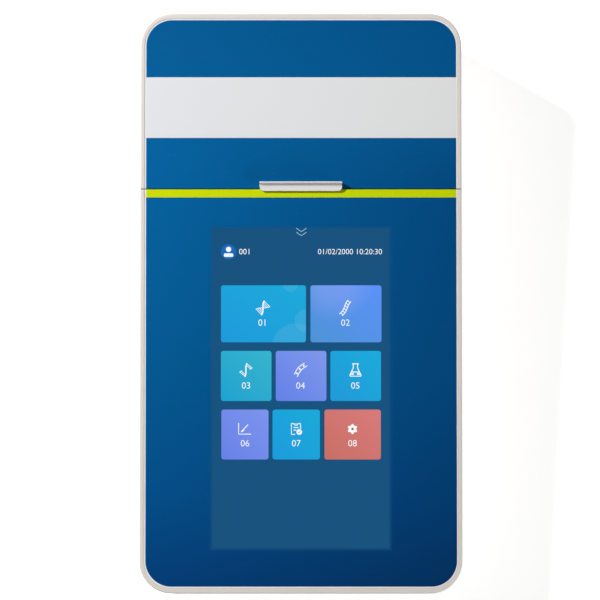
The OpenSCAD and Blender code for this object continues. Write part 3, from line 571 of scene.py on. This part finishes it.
def window_mask(tree, place):
    """1 in the open window and 0 at its border, where the printed ink fades out."""
    near, far = on_deck(0, WINDOW_NEAR).y, on_deck(0, WINDOW_FAR).y
    axes = parts_of(tree, place)
    side = stretched(tree, sums(tree, "ABSOLUTE", axes["X"]), WINDOW_X * MM,
                     (WINDOW_X - SOFT_EDGE) * MM)
    lower = stretched(tree, axes["Y"], near, near + SOFT_EDGE * MM)
    upper = stretched(tree, axes["Y"], far, far - SOFT_EDGE * MM)
    return sums(tree, "MINIMUM", sums(tree, "MINIMUM", side, lower), upper)


def panel_finish():
    """The display's background light, bounded by ink that fades out."""
    material, tree, shader, place = new_finish("screen_glass")
    ripple = put(tree, "ShaderNodeTexNoise", {"Scale": 22.0, "Detail": 2.0})
    join(tree, place, ripple.inputs["Vector"])
    even = mixed(tree, ripple.outputs[0], screen_colour(23, 82, 126), screen_colour(25, 84, 128))
    lit(tree, shader, even, place)
    opened = window_mask(tree, place)
    ink = film_ink(tree, place, LEFT_INK, RIGHT_INK)
    dark = mixed(tree, UNLIT, even, BLACK)
    join(tree, mixed(tree, opened, ink, dark), shader.inputs["Base Color"])
    join(tree, mixed(tree, opened, BLACK, even), shader.inputs["Emission Color"])
    return material


finishes["screen_glass"] = panel_finish()
print("display background with a soft edge of (mm):", SOFT_EDGE)

# %% [markdown]
# ## Dress the CAD parts
# Each CAD node comes with a plain material that is named after the node's finish slot. The mesh
# stays as it is, and only that material is exchanged for the finish made above.

# %% Assign the finishes
slots = set()
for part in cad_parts.values():
    slot = part.material_slots[0].material.name.split(".")[0]
    slots.add(slot)
    part.material_slots[0].material = finishes[slot]
print("dressed", len(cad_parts), "parts with", len(slots), "finishes")

# %% [markdown]
# ## Helpers for small pieces
# The pieces of the picture are thin plates, a few hundredths of a millimetre thick. Each starts
# as a primitive of its real size, is shaped in edit mode, and is then laid on the deck, with its
# place in its mesh.


# %% Modelling helpers
def nothing_selected():
    """Leave edit mode and deselect everything, so the next operator acts on new work only."""
    if bpy.context.object and bpy.context.object.mode != "OBJECT":
        bpy.ops.object.mode_set(mode="OBJECT")
    bpy.ops.object.select_all(action="DESELECT")


def select_edges(piece, test):
    """In edit mode, select only the edges whose two ends pass the test."""
    bpy.ops.object.mode_set(mode="EDIT")
    bpy.ops.mesh.select_mode(type="EDGE")
    bpy.ops.mesh.select_all(action="DESELECT")
    bpy.ops.object.mode_set(mode="OBJECT")
    points = piece.data.vertices
    for edge in piece.data.edges:
        edge.select = test(points[edge.vertices[0]].co, points[edge.vertices[1]].co)
    bpy.ops.object.mode_set(mode="EDIT")


def upright(a, b):
    """True for an edge that stands along z."""
    return abs(a.x - b.x) < 1e-7 and abs(a.y - b.y) < 1e-7


def plate(name, low, high, radius, under, thick, segments=6):
    """A flat plate with rounded corners, between two deck points, in millimetres."""
    nothing_selected()
    middle = [(a + b) / 2 * MM for a, b in zip(low, high)]
    bpy.ops.mesh.primitive_cube_add(size=1, location=(*middle, (under + thick / 2) * MM))
    piece = bpy.context.object
    piece.name = name
    piece.scale = ((high[0] - low[0]) * MM, (high[1] - low[1]) * MM, thick * MM)
    bpy.ops.object.transform_apply(location=False, rotation=False, scale=True)
    select_edges(piece, upright)
    bpy.ops.mesh.bevel(offset=radius * MM, segments=segments, affect="EDGES")
    nothing_selected()
    return piece


def disc(name, x, y, radius, under, thick, sides=48):
    """A flat round plate on the deck, in millimetres, with a fine chamfer round its top."""
    nothing_selected()
    bpy.ops.mesh.primitive_cylinder_add(
        vertices=sides, radius=radius * MM, depth=thick * MM,
        location=(x * MM, y * MM, (under + thick / 2) * MM))
    piece = bpy.context.object
    piece.name = name
    select_edges(piece, lambda a, b: a.z > 0 and b.z > 0)
    bpy.ops.mesh.bevel(offset=min(0.3 * thick, 0.2 * radius) * MM, segments=1, affect="EDGES")
    nothing_selected()
    return piece


def stroke(name, points, width, under, thick, closed=False):
    """A drawn line through deck points: a curve with a round section of the width, flattened."""
    nothing_selected()
    bpy.ops.curve.primitive_nurbs_path_add(location=(0, 0, 0))
    piece = bpy.context.object
    piece.name = name
    line = piece.data
    line.splines.clear()
    spline = line.splines.new("POLY")
    spline.points.add(len(points) - 1)
    for point, (x, y) in zip(spline.points, points):
        point.co = (x * MM, y * MM, 0.0, 1.0)
    spline.use_cyclic_u = closed
    line.bevel_depth = width / 2 * MM
    line.bevel_resolution = 1
    line.use_fill_caps = not closed
    bpy.ops.object.convert(target="MESH")
    piece = bpy.context.object
    piece.scale = (1.0, 1.0, thick / width)
    piece.location = (0.0, 0.0, (under + thick / 2) * MM)
    bpy.ops.object.transform_apply(location=False, rotation=False, scale=True)
    nothing_selected()
    return piece


SIZE_FOR_HEIGHT = 1.37
THINNER = 0.015


def figures(name, text, x, y, height, under, thick):
    """Digits and marks centred on a deck point, as a closed mesh, with their strokes thinned."""
    nothing_selected()
    bpy.ops.object.text_add(location=(0, 0, 0))
    piece = bpy.context.object
    piece.name = name
    piece.data.body = text
    piece.data.size = height * MM * SIZE_FOR_HEIGHT
    piece.data.align_x = "CENTER"
    piece.data.align_y = "CENTER"
    piece.data.extrude = thick / 2 * MM
    piece.data.resolution_u = 4
    piece.data.offset = -THINNER * MM
    bpy.ops.object.convert(target="MESH")
    piece = bpy.context.object
    piece.location = (x * MM, y * MM, (under + thick / 2) * MM)
    nothing_selected()
    return piece


def united(name, pieces):
    """Join several meshes into one piece."""
    nothing_selected()
    for piece in pieces:
        piece.select_set(True)
    bpy.context.view_layer.objects.active = pieces[0]
    bpy.ops.object.transform_apply(location=True, rotation=True, scale=True)
    if len(pieces) > 1:
        bpy.ops.object.join()
    pieces[0].name = name
    nothing_selected()
    return pieces[0]


def settle(piece, material, body, at=DECK):
    """Lay a piece on the deck, with its place in its mesh, and give it its finish and body."""
    nothing_selected()
    piece.select_set(True)
    bpy.context.view_layer.objects.active = piece
    piece.matrix_world = at @ piece.matrix_world
    bpy.ops.object.transform_apply(location=True, rotation=True, scale=True)
    piece.data.materials.clear()
    piece.data.materials.append(material)
    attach(piece, body)
    nothing_selected()


def show(piece, light):
    """Settle a piece of the picture on the display."""
    settle(piece, light, "case")


print("modelling helpers ready")

# %% [markdown]
# ## The picture on the display: tiles
# The home page shows eight touch tiles in three rows. Each tile is a rounded plate with a soft
# gradient between two colours, from its lower left to its upper right corner. A tile's light comes
# from the panel, so its material gives light instead of waiting for a lamp. Two tiles also carry
# faint round highlights, which lie in the material as circles of a lighter shade.

# %% Tile sizes and colours
ON_GLASS = GLASS_TOP
LAYER = 0.05
TILE_CORNER = 0.9
GLOW_SHARE = 0.16
TILES = {
    "1": ((-29.7, -14.8), (1.9, 6.4), (30, 155, 221), (29, 171, 219)),
    "2": ((3.6, -14.8), (30.0, 6.4), (78, 148, 214), (92, 146, 250)),
    "3": ((-29.7, -36.6), (-10.9, -18.0), (30, 163, 210), (54, 181, 205)),
    "4": ((-9.3, -36.6), (9.5, -18.0), (98, 129, 233), (128, 153, 236)),
    "5": ((11.0, -36.6), (29.8, -18.0), (32, 154, 217), (27, 172, 221)),
    "6": ((-29.5, -58.3), (-12.0, -39.8), (104, 129, 232), (125, 149, 239)),
    "7": ((-10.5, -58.3), (7.1, -39.8), (29, 156, 222), (26, 171, 217)),
    "8": ((8.8, -58.3), (29.7, -39.8), (200, 112, 100), (218, 123, 124)),
}
GLOWS = {
    "1": [((-1.8, -16.7), 9.0, 0.2, (110, 194, 225)), ((2.0, -6.8), 4.4, 0.2, (110, 194, 225)),
          ((-3.9, 6.8), 2.9, 0.2, (110, 194, 225))],
    "2": [((12.5, 8.0), 15.0, 9.0, (196, 196, 248))],
}


def round_glow(tree, place, light, middle, radius, soft, colour):
    """Lighten a colour inside a circle on the deck whose rim fades over a soft width."""
    offset = vectors(tree, "DISTANCE", place, on_deck(*middle))
    inside = stretched(tree, offset, radius * MM, (radius - soft) * MM, 0.0, GLOW_SHARE)
    return mixed(tree, inside, light, screen_colour(*colour))


def tile_light(name, low, high, first, last, glows):
    """Light that goes from one colour at a tile's lower left to another at its upper right."""
    material, tree, shader, place = new_finish(name)
    start, end = on_deck(*low), on_deck(*high)
    axes = parts_of(tree, place)
    across = stretched(tree, axes["X"], start.x, end.x, 0.0, 0.5)
    upward = stretched(tree, axes["Y"], start.y, end.y, 0.0, 0.5)
    share = sums(tree, "ADD", across, upward)
    light = mixed(tree, share, screen_colour(*first), screen_colour(*last))
    for glow in glows:
        light = round_glow(tree, place, light, *glow)
    lit(tree, shader, light, place)
    return material


# %% Make the tiles
for number, (low, high, first, last) in TILES.items():
    tile = plate(f"display_tile_{number}", low, high, TILE_CORNER, ON_GLASS, LAYER)
    light = tile_light(f"tile_light_{number}", low, high, first, last, GLOWS.get(number, []))
    show(tile, light)
print("tiles:", len(TILES))

# %% [markdown]
# ## The picture on the display: white marks
# White is used for the icons and figures. Each tile has an icon of what it starts: strands for
# samples, a flask, a chart, a sheet or a gear. Their captions are plain numbers.


# %% White light
def plain_light(name, colour):
    """A lit mark of one colour, with the fine unevenness of a panel's backlight."""
    material, tree, shader, place = new_finish(name)
    ripple = put(tree, "ShaderNodeTexNoise", {"Scale": 900.0, "Detail": 2.0})
    join(tree, place, ripple.inputs["Vector"])
    light = mixed(tree, ripple.outputs[0], screen_colour(*colour),
                  screen_colour(*[min(255, c + 6) for c in colour]))
    lit(tree, shader, light, place)
    return material


white_light = plain_light("white_light", (246, 250, 253))
badge_light = plain_light("badge_light", (22, 102, 184))
pull_light = plain_light("pull_light", (150, 198, 224))
bore_light = plain_light("bore_light", (168, 96, 92))
print("lit marks: white_light, badge_light, pull_light, bore_light")

# %% Icon helpers
ON_TILE = ON_GLASS + LAYER
ON_ICON = ON_TILE + 0.6 * LAYER
LINE = 0.34
WAVE_STEPS = 24
ICONS_AT = {
    "1": (-14.1, -2.0), "2": (16.6, -2.0), "3": (-20.4, -25.1), "4": (0.0, -25.1),
    "5": (20.3, -25.1), "6": (-20.8, -47.0), "7": (-1.8, -47.0), "8": (19.2, -47.0),
}


def turned_points(points, x, y, degrees):
    """Points turned about their origin and moved to a place on the deck."""
    c, s = math.cos(math.radians(degrees)), math.sin(math.radians(degrees))
    return [(x + px * c - py * s, y + px * s + py * c) for px, py in points]


def wave(length, height, turns, phase=0.0):
    """Points along a sine wave whose middle is at the origin."""
    shares = [i / WAVE_STEPS for i in range(WAVE_STEPS + 1)]
    return [(length * (share - 0.5), height * math.sin(2 * math.pi * turns * share + phase))
            for share in shares]


def draw(name, lines, number, degrees=0.0, width=LINE, at=None):
    """Several strokes round one icon's place, as one piece. Each line is points and closed."""
    x, y = at or ICONS_AT[number]
    made = [stroke(name, turned_points(points, x, y, degrees), width, ON_TILE, LAYER, closed)
            for points, closed in lines]
    return united(name, made)


def open_lines(*lines):
    """Lines that don't close, in the form that draw takes."""
    return [(points, False) for points in lines]


def ladder(first, second, rungs):
    """Short lines between two strands, at some of their points."""
    return open_lines(*[[first[i], second[i]] for i in rungs])


print("icon line width (mm):", LINE)


# %% Strand icons
def twist(number, length, height, rungs, degrees, whole, thin, thick):
    """Two strands that cross: one thick, and one thin, with rungs between them."""
    first = wave(length, height, 0.5, math.pi / 2)
    second = wave(length, height, 0.5, -math.pi / 2)
    strands = open_lines(first) if whole else open_lines(first[:7], first[18:])
    ends = draw("ends", strands + ladder(first, second, rungs), number, degrees, thin)
    return united("twist", [draw("twist", open_lines(second), number, degrees, thick), ends])


icons = {"1": twist("1", 4.6, 1.45, (1, 4, 7, 17, 20, 23), 45, True, 0.22, 0.50)}

rail = wave(6.2, 0.3, 0.9, math.pi)
over, under = [(x, y + 0.6) for x, y in rail], [(x, y - 0.6) for x, y in rail]
rungs = ladder(over, under, range(2, WAVE_STEPS, 4))
icons["2"] = draw("strand", open_lines(over, under) + rungs, "2", 56, 0.30)
icons["3"] = twist("3", 4.4, 1.25, (1, 4, 20, 23), 50, False, 0.24, 0.46)

rail = wave(5.6, 0.55, 0.5)
edges = open_lines(*[[(x, y + side * 0.7) for x, y in rail] for side in (1, -1)])
chain = [draw("chain", edges, "4", 48, 0.30)]
for x, y in turned_points([(-1.9, 0.25), (0.0, 0.5), (1.9, 0.25)], *ICONS_AT["4"], 48):
    chain.append(disc("bead", x, y, 0.36, ON_TILE, LAYER, 20))
icons["4"] = united("chain", chain)
print("strand icons:", ", ".join(sorted(icons)))

# %% Flask, chart, sheet and gear
flask = [(-0.8, 2.3), (-0.8, 0.7), (-2.1, -1.9), (-1.9, -2.3), (1.9, -2.3), (2.1, -1.9),
         (0.8, 0.7), (0.8, 2.3)]
icons["5"] = draw("flask", open_lines(
    flask, [(-1.25, 2.3), (1.25, 2.3)], [(-1.4, -0.7), (1.4, -0.7)],
    [(-1.6, -1.2), (-0.5, -1.2)], [(1.6, -1.2), (0.5, -1.2)],
    [(-1.8, -1.7), (-0.6, -1.7)], [(1.8, -1.7), (0.6, -1.7)]), "5")
icons["6"] = draw("chart", open_lines(
    [(-2.3, 2.2), (-2.3, -1.9), (2.3, -1.9)],
    [(-1.4, -1.1), (1.2, 1.6)], [(-1.4, -1.1), (-0.2, -0.4)]), "6")
clip = ([(-0.7, 1.9), (-0.5, 1.45), (0.5, 1.45), (0.7, 1.9)], True)
sheet = draw("sheet", open_lines(
    [(-0.7, 2.0), (-1.7, 2.0), (-1.7, -2.0), (-0.3, -2.0)],
    [(0.7, 2.0), (1.7, 2.0), (1.7, 0.1)]) + [clip] + open_lines(
    [(-0.9, 0.55), (0.9, 0.55)], [(-0.9, -0.45), (0.1, -0.45)]), "7")
SEAL_AT = (-0.6, -48.1)
seal = disc("seal", *SEAL_AT, 1.05, ON_TILE, LAYER, 28)
icons["7"] = united("sheet", [sheet, seal])
tick = draw("tick", open_lines([(-0.5, 0.0), (-0.12, -0.38), (0.55, 0.36)]), "7", 0, 0.22, SEAL_AT)


def gear(x, y, outer, inner, teeth):
    """A flat gear: a round plate whose rim is moved out at every other group of points."""
    piece = disc("gear", x, y, outer, ON_TILE, LAYER, teeth * 8)
    for point in piece.data.vertices:
        turn = math.atan2(point.co.y, point.co.x) / (2 * math.pi) * teeth % 1.0
        rise = min(1.0, max(0.0, 4.0 * abs(turn - 0.5) - 0.5))
        share = (inner + (outer - inner) * (1.0 - rise)) / outer
        point.co.x *= share
        point.co.y *= share
    return piece


icons["8"] = gear(*ICONS_AT["8"], 1.87, 1.42, 6)
for number, icon in icons.items():
    icon.name = f"tile_icon_{number}"
    show(icon, white_light)
tick.name = "sheet_tick"
for point in tick.data.vertices:
    point.co.z += (ON_ICON - ON_TILE) * MM
show(tick, badge_light)
bore = disc("gear_bore", *ICONS_AT["8"], 0.5, ON_ICON, LAYER, 24)
show(bore, bore_light)
print("icons:", len(icons))

# %% Captions, clock and user
CAPTIONS = {
    "1": (-14.2, -7.6), "2": (16.6, -7.6), "3": (-20.3, -31.0), "4": (-0.1, -31.0),
    "5": (20.3, -31.0), "6": (-20.7, -52.4), "7": (-1.7, -52.4), "8": (19.2, -52.4),
}
for number, (x, y) in CAPTIONS.items():
    caption = figures(f"tile_number_{number}", f"0{number}", x, y, 2.5, ON_TILE, LAYER)
    show(caption, white_light)
STATUS_ROW = 18.85
clock = figures("clock_digits", "01/02/2000 10:20:30", 18.3, STATUS_ROW, 2.12, ON_GLASS, LAYER)
show(clock, white_light)
user = figures("user_digits", "001", -20.8, STATUS_ROW, 2.2, ON_GLASS, LAYER)
show(user, white_light)
print("captions:", len(CAPTIONS), "clock width (mm):", round(clock.dimensions.x / MM, 1))

# %% User badge and pull-down marks
USER_X = -26.9
badge = disc("user_badge", USER_X, STATUS_ROW, 2.85, ON_GLASS, LAYER)
show(badge, badge_light)
head = disc("head", USER_X, 19.8, 0.98, ON_TILE, LAYER, 32)
chest = plate("chest", (-28.65, 17.0), (-25.15, 18.3), 0.5, ON_TILE, LAYER, 8)
show(united("user_figure", [head, chest]), white_light)
marks = [stroke("mark", [(-1.65, y), (0.2, y - 1.3), (2.05, y)], 0.26, ON_GLASS, LAYER)
         for y in (27.7, 26.2)]
show(united("pull_down_marks", marks), pull_light)
print("user badge and pull-down marks made")

# %% [markdown]
# ## The back panel
# The power rocker carries the two marks every mains or low-voltage switch has: a bar for on and a
# ring for off, one on each half. The rocker turns, so its marks ride on it. The socket for data
# has four gilt contacts under its tongue. The places below are those of the CAD parts, measured
# on the deck in millimetres, so a part inside the case has a z below 0.

# %% Paint and gilt
THIN_EDGE = 0.00003
finishes["mark_paint"] = surface(
    "mark_paint", colour=(226, 226, 222), second=(206, 206, 202), roughness=(0.40, 0.55),
    grain=(5000.0, 0.15), edge=THIN_EDGE)
finishes["gilt"] = surface(
    "gilt", colour=(222, 184, 104), second=(190, 150, 78), roughness=(0.16, 0.30),
    grain=(2600.0, 0.12), edge=THIN_EDGE, Metallic=1.0)
print("finishes:", len(finishes))

# %% Marks on the rocker
ROCKER = (36.0, 106.5, -33.67)
ROCKER_REST = math.radians(8)
HALF_MIDDLE = 2.7
FACE_OUT = 2.6
FACE_TILT = math.atan2(0.6, 5.4)
INK = 0.04
RING = 1.05
RING_POINTS = 24
rocker_frame = DECK @ Matrix.Translation([v * MM for v in ROCKER]) \
    @ Matrix.Rotation(ROCKER_REST, 4, "Z")


def rocker_half(side):
    """The frame of one half of the rocker's face: x across, y up and z out of the face."""
    middle = Matrix.Translation((side * HALF_MIDDLE * MM, FACE_OUT * MM, 0))
    outward = Matrix.Rotation(math.pi, 4, "Z") @ Matrix.Rotation(math.pi / 2, 4, "X")
    return rocker_frame @ middle @ Matrix.Rotation(side * FACE_TILT, 4, "Z") @ outward


bar = stroke("rocker_on_mark", [(0, -1.1), (0, 1.1)], 0.42, -INK / 2, INK)
settle(bar, finishes["mark_paint"], "rocker", rocker_half(-1))
turns = [i * 2 * math.pi / RING_POINTS for i in range(RING_POINTS)]
circle = [(RING * math.cos(turn), RING * math.sin(turn)) for turn in turns]
ring = stroke("rocker_off_mark", circle, 0.36, -INK / 2, INK, closed=True)
settle(ring, finishes["mark_paint"], "rocker", rocker_half(1))
print("rocker marks: bar and ring")

# %% Contacts in the data socket
TONGUE_UNDER = -39.64
TONGUE_MIDDLE = -12.0
CONTACT_HALF = 0.5
CONTACT_NEAR, CONTACT_FAR = 97.5, 106.2
CONTACT_CORNER = 0.35
CONTACT_THICK = 0.12
CONTACT_SHOWS = 0.08
for number, offset in enumerate((-3.5, -1.0, 1.0, 3.5), 1):
    x = TONGUE_MIDDLE + offset
    strip = plate(f"data_contact_{number}", (x - CONTACT_HALF, CONTACT_NEAR),
                  (x + CONTACT_HALF, CONTACT_FAR), CONTACT_CORNER,
                  TONGUE_UNDER - CONTACT_SHOWS, CONTACT_THICK, 4)
    settle(strip, finishes["gilt"], "case")
print("data contacts: 4")

# %% [markdown]
# ## Painted shade in the screw recesses
# The four screws that hold the lid's lining are turned with a cross-head driver. Their recesses
# are painted shade: each is a dark, thin pair of bars on the head. The heads are seen from below
# the lid, so the bars lie on their lower faces.

# %% Painted shade in the lining's screw recesses
HEAD_UNDER = -10.9
ARM = 0.95
BAR_WIDTH = 0.5
BAR_THICK = 0.06
LINING_SCREWS = [(-51.0, 51.3), (51.0, 51.3), (-51.0, 91.0), (51.0, 91.0)]
for number, (x, y) in enumerate(LINING_SCREWS, 1):
    turn = 23.0 * number
    bars = [stroke("bar", turned_points(points, x, y, turn), BAR_WIDTH,
                   HEAD_UNDER - BAR_THICK / 2, BAR_THICK)
            for points in ([(-ARM, 0), (ARM, 0)], [(0, -ARM), (0, ARM)])]
    # Painted shade: a dark cross stands for the shaded recess in each screw's head.
    settle(united(f"lining_screw_recess_shade_{number}", bars), finishes["display_black"], "lid")
print("screw crosses:", len(LINING_SCREWS))

# %% [markdown]
# ## The studio
# The reader lies on a plain white sweep. The world is white near the horizon and dark overhead,
# like a studio with a black ceiling, because a satin film seen from above mirrors the ceiling and
# would turn milky under a white one. Rays that come straight from the camera see plain white. The
# floor gives some light of its own to the camera, to metal and to glass, so that it shows white
# and still holds a faint shadow.


# %% World
def for_rays(tree, *kinds):
    """1 for rays of the given kinds and 0 for all others."""
    paths = put(tree, "ShaderNodeLightPath").outputs
    mask = paths[kinds[0]]
    for kind in kinds[1:]:
        mask = sums(tree, "MAXIMUM", mask, paths[kind])
    return mask


world = bpy.data.worlds.new("studio")
bpy.context.scene.world = world
world.use_nodes = True
tree = world.node_tree
sky = next(n for n in tree.nodes if n.type == "BACKGROUND")
toward = put(tree, "ShaderNodeTexCoord").outputs["Generated"]
dome = stretched(tree, parts_of(tree, toward)["Z"], 0.05, 0.55, 0.95, 0.03)
level = put(tree, "ShaderNodeMix", data_type="FLOAT")
feed(tree, level, {0: for_rays(tree, "Is Camera Ray", "Is Transmission Ray"), 2: dome, 3: 1.0})
join(tree, level.outputs[0], sky.inputs["Strength"])
sky.inputs["Color"].default_value = (1, 1, 1, 1)
print("world: white horizon, dark zenith")

# %% Floor
FLOOR_SIZE = 6
FLOOR_LIFT = 0.705
nothing_selected()
bpy.ops.mesh.primitive_plane_add(size=FLOOR_SIZE, location=(0, 0, 0))
floor = bpy.context.object
floor.name = "floor"
material, tree, shader, _ = new_finish("floor_sweep")
shader.inputs["Base Color"].default_value = (0.80, 0.80, 0.80, 1)
shader.inputs["Roughness"].default_value = 0.9
shader.inputs["Specular IOR Level"].default_value = 0.1
shader.inputs["Emission Color"].default_value = (1, 1, 1, 1)
shown = for_rays(tree, "Is Camera Ray", "Is Transmission Ray", "Is Glossy Ray")
join(tree, sums(tree, "MULTIPLY", shown, FLOOR_LIFT), shader.inputs["Emission Strength"])
floor.data.materials.append(material)
print("floor (m):", FLOOR_SIZE)

# %% [markdown]
# ## Lamps
# The main lamp stands at the upper left, about 44 degrees above the bench. It is small enough for
# the lid's handle to throw a crisp shadow on the film. A broad lamp, low at the front right, keeps
# the walls there readable. Neither stands where the film would mirror it to the camera.


# %% Lamps
def lamp(name, toward, distance, size, power):
    """A square lamp that faces the reader from a direction."""
    nothing_selected()
    direction = Vector(toward).normalized()
    bpy.ops.object.light_add(type="AREA", location=direction * distance)
    made = bpy.context.object
    made.name = name
    made.data.size = size
    made.data.energy = power
    made.rotation_mode = "QUATERNION"
    made.rotation_quaternion = direction.to_track_quat("Z", "Y")


lamp("main_lamp", (-3.15, 1.9, 3.6), distance=1.3, size=0.10, power=18.25)
lamp("side_lamp", (3.0, -2.0, 0.85), distance=1.6, size=0.7, power=14.0)
print("lamps: main_lamp and side_lamp")

# %% [markdown]
# ## The camera
# A long lens looks down on the deck from 0.9 m, almost square to it: 84 degrees above the bench.

# %% Camera
AIM = on_deck(-0.3, 0.93)
VIEW_HEIGHT = math.radians(84.09)
VIEW_DISTANCE = 0.9
LENS = 145.17
nothing_selected()
bpy.ops.object.camera_add()
camera = bpy.context.object
toward_camera = Vector((0, -math.cos(VIEW_HEIGHT), math.sin(VIEW_HEIGHT)))
camera.location = AIM + toward_camera * VIEW_DISTANCE
camera.rotation_mode = "QUATERNION"
camera.rotation_quaternion = (-toward_camera).to_track_quat("-Z", "Y")
camera.data.lens = LENS
camera.data.sensor_width = 36.0
camera.data.clip_start = 0.05
camera.data.clip_end = 20.0
bpy.context.scene.camera = camera
bpy.context.scene.view_settings.view_transform = "Standard"
print("camera at (m):", [round(v, 3) for v in camera.location])
